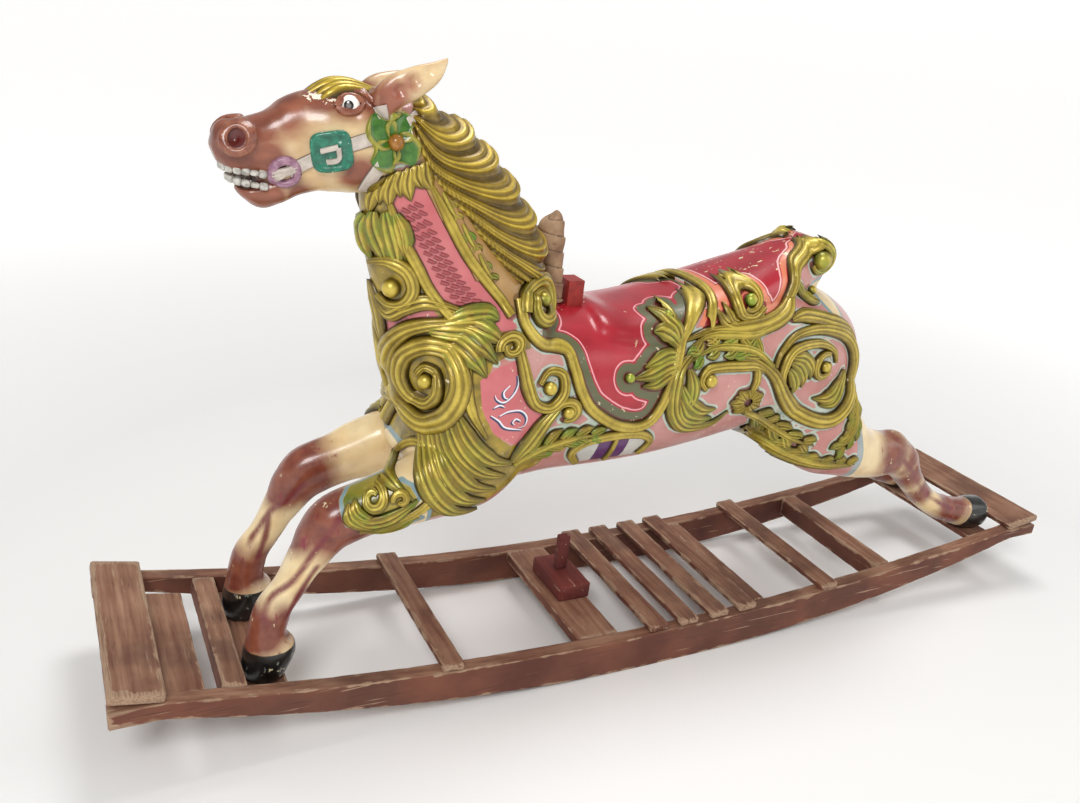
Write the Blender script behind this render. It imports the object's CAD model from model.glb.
# %% [markdown]
# # A galloper on its bow rocker
# A galloper is a carved wooden carousel horse. This one was set on a bow rocker: two
# curved rails, joined by slats and boards. The horse is one piece of carving under many
# coats of oil paint, so here it is a few meshes: the body, the head, and the gilded
# carving laid over both. Everything is in metres, with +Z up and the horse facing -X.

# %% Load the frame
import math

import bmesh
import bpy
import numpy as np
from mathutils import Matrix, Vector
from mathutils.bvhtree import BVHTree


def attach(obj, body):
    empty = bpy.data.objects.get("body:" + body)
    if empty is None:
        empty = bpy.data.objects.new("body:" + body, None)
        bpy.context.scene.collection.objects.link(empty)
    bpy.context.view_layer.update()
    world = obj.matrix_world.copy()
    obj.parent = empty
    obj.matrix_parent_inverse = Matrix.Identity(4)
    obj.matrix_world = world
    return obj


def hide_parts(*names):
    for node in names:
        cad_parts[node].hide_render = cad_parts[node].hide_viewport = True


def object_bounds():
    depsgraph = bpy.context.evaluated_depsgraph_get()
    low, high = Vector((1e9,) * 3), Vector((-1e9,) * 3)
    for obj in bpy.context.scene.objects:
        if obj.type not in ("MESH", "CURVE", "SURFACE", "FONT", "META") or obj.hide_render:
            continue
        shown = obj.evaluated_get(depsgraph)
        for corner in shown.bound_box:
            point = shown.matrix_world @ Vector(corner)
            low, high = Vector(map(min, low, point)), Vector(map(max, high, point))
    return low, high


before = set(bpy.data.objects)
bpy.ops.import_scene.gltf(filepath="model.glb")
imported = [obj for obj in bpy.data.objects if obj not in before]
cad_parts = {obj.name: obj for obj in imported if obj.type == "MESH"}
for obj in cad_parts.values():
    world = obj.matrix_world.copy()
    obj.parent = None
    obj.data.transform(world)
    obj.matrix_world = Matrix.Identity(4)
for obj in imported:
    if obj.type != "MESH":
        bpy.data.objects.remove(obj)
CAD_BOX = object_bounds()
MM = 0.001
LEFT, RIGHT = -1, 1
dice = np.random.default_rng(7)
print("nodes:", len(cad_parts))


# %% [markdown]
# ## Small tools
# A mesh is made from lists of points and faces. A carved form is nearly always a curve
# with a changing section, so most shapes below start from the smooth curve that
# passes through a few chosen points.

# %% Meshes, curves and lofts
def new_mesh(name, points, faces, smooth=True, attributes=None):
    mesh = bpy.data.meshes.new(name)
    mesh.from_pydata([tuple(p) for p in points], [], [tuple(f) for f in faces])
    mesh.update()
    mesh.polygons.foreach_set("use_smooth", [smooth] * len(mesh.polygons))
    for key, values in (attributes or {}).items():
        layer = mesh.attributes.new(key, "FLOAT", "POINT")
        layer.data.foreach_set("value", np.asarray(values, np.float32))
    piece = bpy.data.objects.new(name, mesh)
    bpy.context.scene.collection.objects.link(piece)
    return piece


def curve_at(values, t):
    """Catmull-Rom through the rows of values, at each t from 0 to 1."""
    rows = np.asarray(values, float)
    last = len(rows) - 1
    s = np.clip(np.asarray(t, float) * last, 0, last - 1e-9)
    i = s.astype(int)
    u = (s - i)[..., None]
    a, b, c, d = (rows[np.clip(i + k, 0, last)] for k in (-1, 0, 1, 2))
    return 0.5 * (2 * b + (c - a) * u + (2 * a - 5 * b + 4 * c - d) * u**2
                  + (3 * b - a - 3 * c + d) * u**3)


def unit(v):
    return v / np.maximum(np.linalg.norm(v, axis=-1, keepdims=True), 1e-12)


# %% [markdown]
# A loft joins rings of points into one closed skin. A limb is a loft whose rings stand
# across a curve through its stations, and it is rounded at both ends.

# %% Lofts
def skin_of_rings(rings, closed=True):
    """Faces that join each ring of points to the next, with the two ends capped."""
    count, sides = len(rings), len(rings[0])
    faces = []
    for i in range(count - 1):
        for k in range(sides if closed else sides - 1):
            j = (k + 1) % sides
            faces.append((i * sides + k, i * sides + j, (i + 1) * sides + j, (i + 1) * sides + k))
    if closed:
        faces.append(tuple(range(sides))[::-1])
        faces.append(tuple((count - 1) * sides + k for k in range(sides)))
    return np.concatenate(rings), faces


def limb(stations, sides=40, rings=7, fullness=2.2):
    """A limb through stations [x, y, z, half depth, half width], in millimetres."""
    stations = np.asarray(stations, float)
    count = (len(stations) - 1) * rings
    t = np.linspace(0, 1, count + 1)
    values = curve_at(stations, t)
    along = unit(curve_at(stations, np.minimum(1, t + 0.01))[:, :3]
                 - curve_at(stations, np.maximum(0, t - 0.01))[:, :3])
    across = unit(np.array([0, 1, 0]) - along * along[:, 1:2])
    fore = np.cross(along, across)
    angle = 2 * np.pi * (np.arange(sides) + 0.5) / sides
    c, s = np.cos(angle), np.sin(angle)
    r = (np.abs(c) ** fullness + np.abs(s) ** fullness) ** (-1 / fullness)
    rings_out = []
    for row, e1, e2 in zip(values, across, fore):
        deep, wide = max(1, row[3]), max(1, row[4])
        rings_out.append((row[:3] + np.outer(wide * r * c, e1) + np.outer(deep * r * s, e2)) * MM)
    return skin_of_rings(rings_out)


def roll(stations, sides=32, rings=6):
    """A round form that lies across the horse: stations [x, y, z, radius]."""
    t = np.linspace(0, 1, (len(stations) - 1) * rings + 1)
    angle = 2 * np.pi * np.arange(sides) / sides
    out = []
    for x, y, z, radius in curve_at(stations, t):
        radius = max(1, radius)
        ring = [(x + radius * math.sin(a), y, z + radius * math.cos(a)) for a in angle]
        out.append(np.array(ring) * MM)
    return skin_of_rings(out)


def mirrored(stations, side):
    return [[row[0], row[1] * side, *row[2:]] for row in stations]


# %% Joining solids into one smooth skin
def evaluated(piece):
    """The piece with its modifiers applied."""
    mesh = bpy.data.meshes.new_from_object(
        piece.evaluated_get(bpy.context.evaluated_depsgraph_get()))
    piece.modifiers.clear()
    piece.data = mesh
    return piece


def fused(name, solids, voxel, relax):
    """Closed solids joined into one even skin of small faces, then eased a little."""
    points, faces = [], []
    for solid_points, solid_faces in solids:
        start = sum(len(p) for p in points)
        points.append(solid_points)
        faces.extend(tuple(start + k for k in face) for face in solid_faces)
    piece = new_mesh(name, np.concatenate(points), faces)
    work = bmesh.new()
    work.from_mesh(piece.data)
    bmesh.ops.recalc_face_normals(work, faces=work.faces)
    work.to_mesh(piece.data)
    work.free()
    remesh = piece.modifiers.new("even skin", "REMESH")
    remesh.mode = "VOXEL"
    remesh.voxel_size = voxel
    ease = piece.modifiers.new("ease", "SMOOTH")
    ease.factor = 0.5
    ease.iterations = relax
    evaluated(piece)
    piece.data.polygons.foreach_set("use_smooth", [True] * len(piece.data.polygons))
    print(name, len(piece.data.polygons), "faces")
    return piece


# %% [markdown]
# foreach_get and foreach_set move all the points of a mesh to and from an array in one
# go, which is far quicker than a loop over them.

# %% Points of a mesh, all at once
def points_of(piece):
    flat = np.empty(len(piece.data.vertices) * 3)
    piece.data.vertices.foreach_get("co", flat)
    return flat.reshape(-1, 3)


def set_points(piece, points):
    piece.data.vertices.foreach_set("co", points.ravel())
    piece.data.update()


def normals_of(piece):
    flat = np.empty(len(piece.data.vertices) * 3)
    piece.data.vertex_normals.foreach_get("vector", flat)
    return flat.reshape(-1, 3)


def attribute(piece, key, values):
    layer = piece.data.attributes.get(key) or piece.data.attributes.new(key, "FLOAT", "POINT")
    layer.data.foreach_set("value", np.asarray(values, np.float32))


def falloff(points, centre, radius):
    """1 at the centre, fading smoothly to 0 at the radius. Millimetres."""
    distance = np.linalg.norm(points / MM - np.asarray(centre, float), axis=1)
    return np.clip(1 - (distance / radius) ** 2, 0, 1) ** 2


# %% [markdown]
# ## The body
# Horses of this kind were glued up as a hollow box of pine and then rounded. Here each
# main form is a loft through a few sections, and a voxel remesh melts them into one skin.

# %% Stations of the body, in millimetres
TRUNK = [
    [-518, 0, 514, 66, 48], [-508, 0, 512, 100, 86], [-480, 0, 511, 130, 120],
    [-424, 0, 515, 152, 140], [-360, 0, 524, 156, 148], [-280, 0, 528, 150, 150],
    [-180, 0, 525, 146, 148], [-80, 0, 530, 146, 146], [20, 0, 545, 147, 146],
    [120, 0, 562, 148, 146], [210, 0, 562, 156, 145], [298, 0, 536, 152, 134],
    [362, 0, 506, 126, 108], [398, 0, 490, 88, 74], [416, 0, 484, 40, 34],
]
NECK = [
    [-385, 0, 560, 142, 122], [-410, 0, 650, 146, 106], [-446, 0, 750, 136, 84],
    [-480, 0, 825, 124, 68], [-518, 0, 895, 96, 56], [-548, 0, 950, 62, 48],
    [-562, 0, 985, 34, 34],
]
LEG_OUT = 90
FORE_LEG = [
    [-370, 88, 470, 66, 52], [-430, 92, 430, 78, 55], [-510, 92, 396, 58, 50],
    [-590, 91, 374, 46, 42], [-652, LEG_OUT, 350, 46, 36], [-686, LEG_OUT, 305, 34, 31],
    [-718, LEG_OUT, 250, 27, 25], [-745, LEG_OUT, 208, 30, 27],
    [-755, LEG_OUT, 172, 30, 30], [-755, LEG_OUT, 145, 36, 35],
]
FORE_HOOF = [[-751, 150, 38, 37], [-752, 128, 43, 40], [-762, 88, 34, 39]]
HIND_LEG = [
    [215, 62, 520, 90, 60], [285, 80, 468, 108, 68], [362, 90, 404, 86, 62],
    [435, 93, 362, 60, 52], [503, 96, 345, 51, 46], [556, 97, 340, 47, 40],
    [600, 97, 313, 38, 34], [636, 98, 273, 29, 28], [693, 99, 220, 26, 25],
    [752, 101, 186, 28, 27], [796, 103, 172, 30, 29], [834, 104, 161, 34, 34],
]
HIND_HOOF = [[830, 104, 162, 34, 34], [852, 104, 159, 37, 37], [889, 104, 157, 36, 38]]
SHOULDER = [
    [-345, 62, 705, 46, 34], [-374, 78, 630, 92, 54], [-398, 90, 550, 100, 62],
    [-418, 93, 480, 84, 60], [-440, 92, 430, 60, 50],
]
SADDLE = [
    [-228, 0, 650, 20, 50], [-205, 0, 640, 42, 100], [-150, 0, 632, 44, 112],
    [-60, 0, 643, 44, 114], [40, 0, 668, 44, 110], [130, 0, 694, 46, 100],
    [205, 0, 715, 50, 84], [262, 0, 730, 56, 66], [300, 0, 715, 40, 50],
]
CANTLE_ROLL = [
    [281, -66, 763, 13], [281, -57, 763, 26], [281, -36, 763, 30], [281, 36, 763, 30],
    [281, 57, 763, 26], [281, 66, 763, 13],
]
BODY_VOXEL = 0.0052


def fore_hoof(side, sides=40):
    angle = 2 * np.pi * np.arange(sides) / sides
    rings = []
    for x, z, long, wide in curve_at(FORE_HOOF[::-1], np.linspace(0, 1, 13)):
        ring = [(x + long * math.cos(a), side * LEG_OUT + wide * math.sin(a), z) for a in angle]
        rings.append(np.array(ring) * MM)
    return skin_of_rings(rings)


solids = [limb(TRUNK, 56, 6, 2.3), limb(NECK, 48, 7, 2.1), limb(SADDLE, 44, 6, 2.4),
          roll(CANTLE_ROLL)]
for side in (LEFT, RIGHT):
    solids.append(limb(mirrored(SHOULDER, side), 40, 7))
    solids.append(limb(mirrored(FORE_LEG, side), 32, 7))
    solids.append(limb(mirrored(HIND_LEG, side), 32, 7))
    solids.append(limb(mirrored(HIND_HOOF, side), 32, 7))
    solids.append(fore_hoof(side))
body = fused("horse_body", solids, BODY_VOXEL, 6)

# %% [markdown]
# The lofts give the masses. Knees, hocks, tendons and the chest's muscles are then
# pushed in or out of the skin, as a carver would finish them with a spokeshave.

# %% Modelling the muscles and joints
def press(piece, pushes):
    """Each push is (centre, radius, depth): the skin moves out by depth at the centre."""
    points = points_of(piece)
    normals = normals_of(piece)
    for (x, y, z), radius, depth in pushes:
        for side in (LEFT, RIGHT):
            share = falloff(points, (x, y * side, z), radius)
            points += normals * (share * depth * MM)[:, None]
    set_points(piece, points)


press(body, [
    ((-655, 118, 362), 42, 5), ((-690, 92, 330), 34, 5),        # knee cap and its lower edge
    ((-690, 90, 272), 30, -3), ((-735, 108, 232), 26, -3),      # hollows beside the tendons
    ((-742, 90, 186), 26, 4), ((-712, 90, 205), 24, -3),        # fetlock, and before it
    ((-560, 128, 400), 60, 6), ((-520, 50, 380), 60, -4),       # forearm muscle
    ((-520, 40, 560), 70, 7), ((-528, 0, 560), 34, -9),         # breast, with its groove
    ((600, 118, 332), 36, 5), ((560, 95, 382), 34, 5),          # hock and its point
    ((610, 70, 318), 34, -3), ((500, 128, 360), 44, -4),        # hollow before the hock
    ((770, 101, 196), 24, 4), ((700, 122, 222), 30, -3),        # fetlock, and cannon hollow
    ((420, 130, 380), 60, 5), ((320, 120, 350), 70, 4),         # gaskin and stifle
])


# %% [markdown]
# ## The head
# The head is a finer skin of its own, because its features are small. It sinks into the
# neck, and the jaw's edge and the bridle cover where they meet.

# %% Head, jaw and ears
HEAD = [
    [-540, 0, 950, 45, 38], [-575, 0, 945, 66, 50], [-610, 0, 935, 76, 56],
    [-645, 0, 932, 74, 55], [-682, 0, 928, 69, 48], [-720, 0, 920, 58, 41],
    [-755, 0, 919, 42, 38], [-785, 0, 915, 36, 38], [-802, 0, 911, 27, 30],
    [-812, 0, 907, 12, 15],
]
JAW = [
    [-660, 0, 885, 24, 34], [-700, 0, 872, 20, 32], [-730, 0, 860, 22, 30],
    [-754, 0, 855, 17, 27], [-772, 0, 860, 11, 22], [-783, 0, 866, 4, 12],
]
EAR = [
    [-590, 38, 985, 20, 18], [-572, 48, 1008, 23, 14], [-545, 56, 1024, 22, 11],
    [-518, 59, 1040, 15, 8], [-498, 58, 1060, 2, 2],
]
FAR_EAR = [
    [-590, 38, 985, 20, 18], [-570, 46, 1002, 20, 14], [-545, 52, 1012, 17, 11],
    [-520, 56, 1022, 10, 8], [-505, 58, 1030, 2, 2],
]
HEAD_VOXEL = 0.0026
head = fused("horse_head", [
    limb(HEAD, 56, 8, 2.4), limb(JAW, 40, 8), limb(mirrored(EAR, LEFT), 32, 8),
    limb(mirrored(FAR_EAR, RIGHT), 32, 8),
], HEAD_VOXEL, 5)
EYE = (-632, 43, 985)
NOSTRIL = (-783, 33, 933)
press(head, [
    (EYE, 34, -5), ((-630, 47, 1008), 26, 7), ((-655, 44, 1000), 22, 5),   # socket, brow
    ((-612, 50, 975), 18, 3), ((-660, 50, 955), 40, 4),                    # cheek bone
    ((-610, 54, 905), 46, 6), ((-690, 44, 905), 34, -4),                   # jowl, and hollow
    (NOSTRIL, 32, 9), ((-787, 35, 933), 18, -22),                          # nostril and its pit
    ((-800, 0, 945), 24, 3), ((-770, 30, 905), 22, 3),                     # lip
    ((-745, 0, 848), 26, 4), ((-772, 12, 872), 22, -7),                     # chin
    ((-568, 62, 1012), 15, -9), ((-548, 68, 1028), 15, -9),                # ear hollows
    ((-528, 70, 1040), 12, -6), ((-720, 20, 960), 30, 2),
])

# %% [markdown]
# ## Laying the carving on the skin
# The scrolls, leaves and mouldings all stand on the curved skin. Each is drawn as a flat
# path, seen level from one heading, and every point of it is then dropped onto the skin
# and raised by its section. So a stroke hugs the body, however the body turns.

# %% Dropping points onto the skin
BEAM = 0.0
BOW = math.radians(30)
OVERHEAD = "overhead"              # seen from above: the two coordinates are then x and y


class Skin:
    """Finds points of a piece's skin along level rays of a heading."""

    def __init__(self, pieces):
        points, normals, faces = [], [], []
        for piece in pieces:
            start = sum(len(p) for p in points)
            points.append(points_of(piece))
            normals.append(normals_of(piece))
            faces.extend([tuple(start + k for k in f.vertices) for f in piece.data.polygons])
        self.points = np.concatenate(points)
        self.normals = np.concatenate(normals)
        self.faces = faces
        self.tree = BVHTree.FromPolygons([tuple(p) for p in self.points], faces)

    def at(self, s, z, heading, side):
        """Point and outward normal of the skin at [s, z] millimetres. It misses as None."""
        if heading == OVERHEAD:
            origin, inward = Vector((s, z, 1200)) * MM, Vector((0, 0, -1))
        else:
            inward = Vector((math.sin(heading), math.cos(heading), 0))
            level = Vector((math.cos(heading), -math.sin(heading), 0))
            origin = (level * s - inward * 700) * MM
            origin.z = z * MM
        if side == RIGHT:
            origin.y *= -1
            inward.y *= -1
        place, _, face, _ = self.tree.ray_cast(origin, inward)
        if place is None:
            return None
        normal = self.normals[list(self.faces[face])].mean(axis=0)
        return np.array(place), normal / np.linalg.norm(normal)


skin = Skin([body, head])
print("the carving lies on", len(skin.faces), "faces")


# %% [markdown]
# All the gilded strokes go into one mesh, because they are one layer of carving. Each
# point also keeps how high it lies on its stroke, how green it is glazed and a tone, and
# the paint reads these.

# %% A mesh of many strokes
class Carving:
    """Gathers many strokes into one mesh, with values that the paint reads."""

    def __init__(self, name, fullness=1.0):
        self.name = name
        self.fullness = fullness       # how much wider strokes are cut than drawn
        self.points, self.faces = [], []
        self.values = {"ridge": [], "green": [], "tone": []}

    def grid(self, rows, closed, ridge, green, tone):
        start = len(self.points)
        rows = np.asarray(rows)
        count, wide = rows.shape[:2]
        self.points.extend(rows.reshape(-1, 3))
        for key, value in (("ridge", ridge), ("green", green), ("tone", tone)):
            self.values[key].extend(np.broadcast_to(value, (count, wide)).reshape(-1))
        for i in range(count - 1):
            for k in range(wide if closed else wide - 1):
                j = (k + 1) % wide
                a, b = start + i * wide, start + (i + 1) * wide
                self.faces.append((a + k, a + j, b + j, b + k))
        if closed:
            self.faces.append(tuple(start + k for k in range(wide))[::-1])
            self.faces.append(tuple(start + (count - 1) * wide + k for k in range(wide)))

    def finish(self):
        piece = new_mesh(self.name, self.points, self.faces, attributes=self.values)
        work = bmesh.new()
        work.from_mesh(piece.data)
        bmesh.ops.recalc_face_normals(work, faces=work.faces)
        work.to_mesh(piece.data)
        work.free()
        print(self.name, len(piece.data.polygons), "faces")
        return piece


# %% [markdown]
# A section runs from -1 at one edge of a stroke to 1 at the other. A moulding is a
# rounded band, a leaf has a groove along its middle and softer ones beside it, and a
# rolled stem has a shallow hollow like the one that a gouge leaves.

# %% Sections of the strokes
def moulding(a):
    return np.sqrt(np.clip(1 - np.abs(a) ** 3, 0, 1)) * (1 - 0.16 * np.exp(-(a / 0.28) ** 2))


def stem(a):
    dip = 0.34 * np.exp(-((a - 0.40) / 0.12) ** 2) + 0.30 * np.exp(-((a + 0.24) / 0.12) ** 2)
    return np.sqrt(np.clip(1 - np.abs(a) ** 3, 0, 1)) * (1 - dip)


def leaf(a):
    dip = 0.50 * np.exp(-(a / 0.13) ** 2) + 0.28 * np.exp(-((np.abs(a) - 0.55) / 0.12) ** 2)
    return np.sqrt(np.clip(1 - np.abs(a) ** 2.6, 0, 1)) * (1 - dip)


def strap(a):
    return np.clip((1 - np.abs(a)) * 7, 0, 1)


print("height of a leaf, from its middle to its edge:", leaf(np.linspace(0, 1, 5)).round(2))


SKIRT = 0.25                       # how far a stroke's edge sinks, as a share of its height


def flat_path(points, t):
    """Points of a flat path and its unit side direction, at each t."""
    path = curve_at(points, t)
    ahead = curve_at(points, np.minimum(1, t + 0.005)) - curve_at(points, np.maximum(0, t - 0.005))
    ahead = unit(ahead)
    return path, np.stack([-ahead[:, 1], ahead[:, 0]], axis=1)


# %% [markdown]
# A stroke is cut in rows across its path. Each row is dropped onto the skin and raised by
# the section, the ends taper, and the outer edges sink below the skin so that no gap
# shows.

# %% A stroke of carving
footprints = []                    # of each stroke: points along its middle, and half widths


def stroke(carving, side, heading, points, width, height, section=moulding, start=0.5, end=0.1,
           belly=0.0, green=0.0, tone=0.0, across=None, step=4.0, mark=True):
    """A raised stroke. Its ends taper to the shares start and end, and belly swells its middle."""
    first, last = width if isinstance(width, tuple) else (width, width)
    across = across or 2 * int(3 + 0.45 * first * carving.fullness) + 1
    rough = curve_at(points, np.linspace(0, 1, 40))
    length = np.linalg.norm(np.diff(rough, axis=0), axis=1).sum()
    count = max(6, int(length / step))
    t = np.linspace(0, 1, count + 1)
    path, aside = flat_path(points, t)
    taper = np.minimum(start + (1 - start) * t * 4, end + (1 - end) * (1 - t) * 2.5)
    taper = np.minimum(1, taper) * (1 + belly * np.sin(np.pi * t))
    halves = taper * np.linspace(first, last, count + 1) * carving.fullness
    a = np.sin(np.linspace(-1, 1, across) * np.pi / 2)
    lift = section(a)
    rows, ridge, drawn = [], [], []    # drawn has each row's place on the skin, and half width
    for place, normal_2d, share, half in zip(path, aside, taper, halves):
        top = height * (0.35 + 0.65 * min(1, share))
        row = []
        for k, (offset, up) in enumerate(zip(a, lift)):
            s, z = place + normal_2d * offset * half
            hit = skin.at(s, z, heading, side)
            if hit is None:
                hit = skin.at(*place, heading, side)
            if hit is None:
                row = None
                break
            sink = -SKIRT if k in (0, across - 1) else up
            row.append(hit[0] + hit[1] * sink * top * MM)
        if row is None:
            continue
        if rows and np.linalg.norm(row[across // 2] - rows[-1][across // 2]) > 5 * step * MM:
            if len(rows) > count // 2:
                break              # the path has run off an edge of the body
            rows, ridge, drawn = [], [], []
        rows.append(row)
        drawn.append([*((row[0] + row[-1]) / 2 / MM), half])
        ridge.append(np.clip(lift, 0, 1) ** 1.5 * min(1.0, 0.55 + share * 0.5))
    if len(rows) < 3:
        return
    greens = np.broadcast_to(np.asarray(green, float), (len(rows),))[:, None] * np.ones(across)
    carving.grid(rows, False, np.array(ridge), greens, tone)
    if mark:
        drawn = np.array(drawn)
        footprints.append((drawn[:, :3], drawn[:, 3]))


# %% [markdown]
# Rococo scrolls end in spirals round a boss. The spiral is a formula, and the boss is a
# ball that sinks partly into the skin.

# %% Spirals and bosses
def spiral(centre, outer, inner, start, turn, power=1.0):
    """Points of a spiral. Angles are in degrees, 0 towards the tail and 90 up."""
    count = max(8, int(abs(turn) / 22))
    t = np.linspace(0, 1, count + 1)
    angle = np.radians(start + turn * t)
    radius = outer + (inner - outer) * t**power
    return np.stack([centre[0] + radius * np.cos(angle), centre[1] + radius * np.sin(angle)], 1)


def ball(carving, side, heading, centre, radius, stand=0.3, squash=1.0, green=0.0, tone=0.0):
    """A round boss that stands out of the skin by a share of its radius."""
    hit = skin.at(*centre, heading, side)
    if hit is None:
        return
    place, normal = hit
    e1 = unit(np.cross(normal, (0, 0, 1.0)))
    e2 = np.cross(normal, e1)
    rings, ridge = [], []
    for lift in np.linspace(-0.98, 0.995, 13):
        around = math.sqrt(1 - lift * lift)
        angle = np.linspace(0, 2 * np.pi, 20, endpoint=False)
        ring = (np.outer(np.cos(angle), e1) + np.outer(np.sin(angle), e2)) * around
        rings.append(place + (ring + normal * (lift * squash + stand)) * radius * MM)
        ridge.append(np.full(20, np.clip(0.25 + lift, 0, 1)))
    carving.grid(rings, True, np.array(ridge), green, tone)
    footprints.append((place[None] / MM, np.array([0.9 * radius])))


# %% [markdown]
# An acanthus leaf is one rib with lobes that spring from both of its sides, bend towards
# its tip and overlap. Each lobe is a small leaf stroke, so a few numbers make a whole
# spray, and no two sprays are quite alike.

# %% Acanthus leaves
def acanthus(carving, side, heading, spine, width, lobes=5, length=34.0, height=9.0, lean=38.0,
             sides=(1, -1), green=0.35, root=0.12, shrink=0.45):
    """A leafy spray along the spine, with lobes on the given sides of it."""
    for i in range(lobes):
        t = root + (0.93 - root) * (i + 0.5) / lobes
        place, aside = flat_path(spine, np.array([t]))
        ahead = np.array([aside[0][1], -aside[0][0]])
        for hand in sides:
            reach = 1.35 * length * (1 - shrink * t) * (0.9 + 0.2 * dice.random())
            slant = math.radians(lean - 4 + 8 * (dice.random() - 0.5))
            out = aside[0] * hand
            way = ahead * math.cos(slant) + out * math.sin(slant)
            bend = ahead * math.cos(slant * 0.25) + out * math.sin(slant * 0.25)
            base = place[0] + out * width * 0.2
            tip = base + way * reach * 0.6 + bend * reach * 0.4
            curve = [base, base + way * reach * 0.33, base + way * reach * 0.66, tip]
            stroke(carving, side, heading, curve, width * 0.42, height, leaf, start=0.7, end=0.12,
                   belly=0.3, green=green * (0.5 + dice.random()), step=4.0)
    stroke(carving, side, heading, spine, width * 0.42, height * 1.25, stem, start=0.7, end=0.12,
           green=green * 0.3, step=4.0)

# %% [markdown]
# ## The gilded carving
# From the throat to the gaskin the horse wears scrollwork in the rococo manner. The near
# side, which faces out of the ring, is cut fullest. The off side is a guess, and plainer.

# %% Paths that the paint needs too
SADDLE_EDGE = [
    [-366, 712], [-361, 676], [-330, 644], [-285, 632], [-274, 604], [-262, 568], [-238, 534],
    [-187, 502], [-142, 493], [-110, 508], [-86, 558], [-65, 614], [-38, 664], [-6, 694], [6, 704],
]
CANTLE_STRAP = [[-50, 634], [2, 648], [62, 648], [128, 658], [176, 680], [196, 716], [206, 746],
                [238, 768], [270, 788]]
CARTOUCHE = [
    [-313, 597], [-287, 616], [-256, 628], [-244, 583], [-230, 550], [-203, 540], [-214, 509],
    [-247, 482], [-282, 508], [-304, 550],
]
BANNER = [
    [-470, 862], [-448, 808], [-422, 765], [-398, 720], [-372, 686], [-342, 660], [-268, 672],
    [-290, 710], [-320, 748], [-352, 786], [-380, 832], [-414, 884],
]
PINK_PANEL = [[-468, 685], [-402, 700], [-382, 680], [-446, 650], [-474, 622]]
REIN = [[-425, 909], [-401, 867], [-376, 824], [-351, 787], [-326, 748]]

# %% Saddle mouldings and volutes, on both sides
gilt = Carving("gilded_carving", 1.1)
for side in (LEFT, RIGHT):
    stroke(gilt, side, BEAM, SADDLE_EDGE, 10, 9, moulding, start=0.9, end=0.9)
    stroke(gilt, side, BEAM, CANTLE_STRAP, (15, 11), 12, stem, start=0.2, end=0.9)
    # the scroll at the saddle's front corner
    stroke(gilt, side, BEAM, spiral((-320, 700), 40, 14, 190, -520, 0.8), (13, 8), 14, stem, 0.8, 0.6,
           green=0.2)
    ball(gilt, side, BEAM, (-318, 701), 13, 0.5, green=0.9)
    # the cantle's end
    ball(gilt, side, BEAM, (271, 761), 18, 0.35, green=0.7)
    stroke(gilt, side, BEAM, spiral((271, 761), 28, 22, 150, -300), 9, 10, stem, 0.8, 0.7, green=0.5)
stroke(gilt, LEFT, OVERHEAD, [[2, -112], [16, -92], [24, -60], [26, 0], [24, 60], [16, 92], [2, 112]], 9, 8,
       moulding, 0.9, 0.9)

# %% The rear scroll and the leaves of the near side's saddle
stroke(gilt, LEFT, BEAM, spiral((88, 698), 36, 16, -20, -470, 0.8), (12, 8), 13, stem, 0.7, 0.6)
ball(gilt, LEFT, BEAM, (89, 698), 12, 0.5, green=1.0)
stroke(gilt, LEFT, BEAM, [[66, 652], [46, 656], [30, 668], [14, 686]], 11, 11, leaf, 0.5, 0.1)
stroke(gilt, LEFT, BEAM, [[70, 656], [54, 664], [42, 678], [34, 694]], 9, 10, leaf, 0.5, 0.1)
acanthus(gilt, LEFT, BEAM, [[128, 652], [88, 640], [40, 640], [-4, 638], [-44, 622]], 17, 4, 34, 11,
         30, (1,))
for points, width in (([[-66, 600], [-92, 596], [-126, 584], [-160, 580]], 12),
                      ([[-64, 612], [-88, 612], [-112, 604], [-136, 596]], 10),
                      ([[-66, 590], [-94, 580], [-118, 568], [-142, 566]], 10),
                      ([[-62, 620], [-74, 640], [-96, 650], [-112, 650]], 12),
                      ([[-58, 628], [-66, 654], [-84, 668], [-100, 676]], 11)):
    stroke(gilt, LEFT, BEAM, points, width, 11, leaf, 0.5, 0.12, belly=0.2, green=0.4)
ball(gilt, LEFT, BEAM, (-168, 582), 9, 0.4, green=1.0)
stroke(gilt, LEFT, BEAM, spiral((-76, 671), 18, 9, 250, -300), 7, 10, stem, 0.8, 0.6, green=0.3)
ball(gilt, LEFT, BEAM, (-74, 671), 9, 0.5, green=1.0)
stroke(gilt, LEFT, BEAM, [[180, 662], [214, 668], [275, 656], [336, 636], [368, 606]], 12, 11, leaf,
       0.3, 0.2)
stroke(gilt, LEFT, BEAM, [[204, 730], [222, 706], [246, 690], [268, 684]], 10, 10, leaf, 0.4, 0.2, green=0.4)
ball(gilt, LEFT, BEAM, (260, 700), 9, 0.5, green=1.0)

# %% Shoulder: the big volute and the leaves at its top
VOLUTE = [
    [-296, 660], [-334, 674], [-383, 674], [-432, 660], [-462, 623], [-468, 575], [-449, 526],
    [-400, 508], [-358, 534], [-340, 585], [-360, 628], [-402, 638], [-434, 616], [-442, 580],
    [-426, 550], [-396, 542], [-376, 562], [-380, 592], [-402, 602], [-414, 588],
]
for side in (LEFT, RIGHT):
    stroke(gilt, side, BOW, VOLUTE, (20, 12), 15, stem, 0.2, 0.5)
    ball(gilt, side, BOW, (-400, 578), 13, 0.3)
    for i in range(5):
        # long leaves fall from the volute and sweep back under the belly
        drop = [[-340 - 15 * i, 538 - 9 * i], [-318 - 16 * i, 498 - 17 * i], [-285 - 14 * i, 464 - 22 * i],
                [-246 - 14 * i, 448 - 21 * i]]
        stroke(gilt, side, BOW, drop, 15, 12, leaf, 0.5, 0.1, green=0.25)
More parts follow.
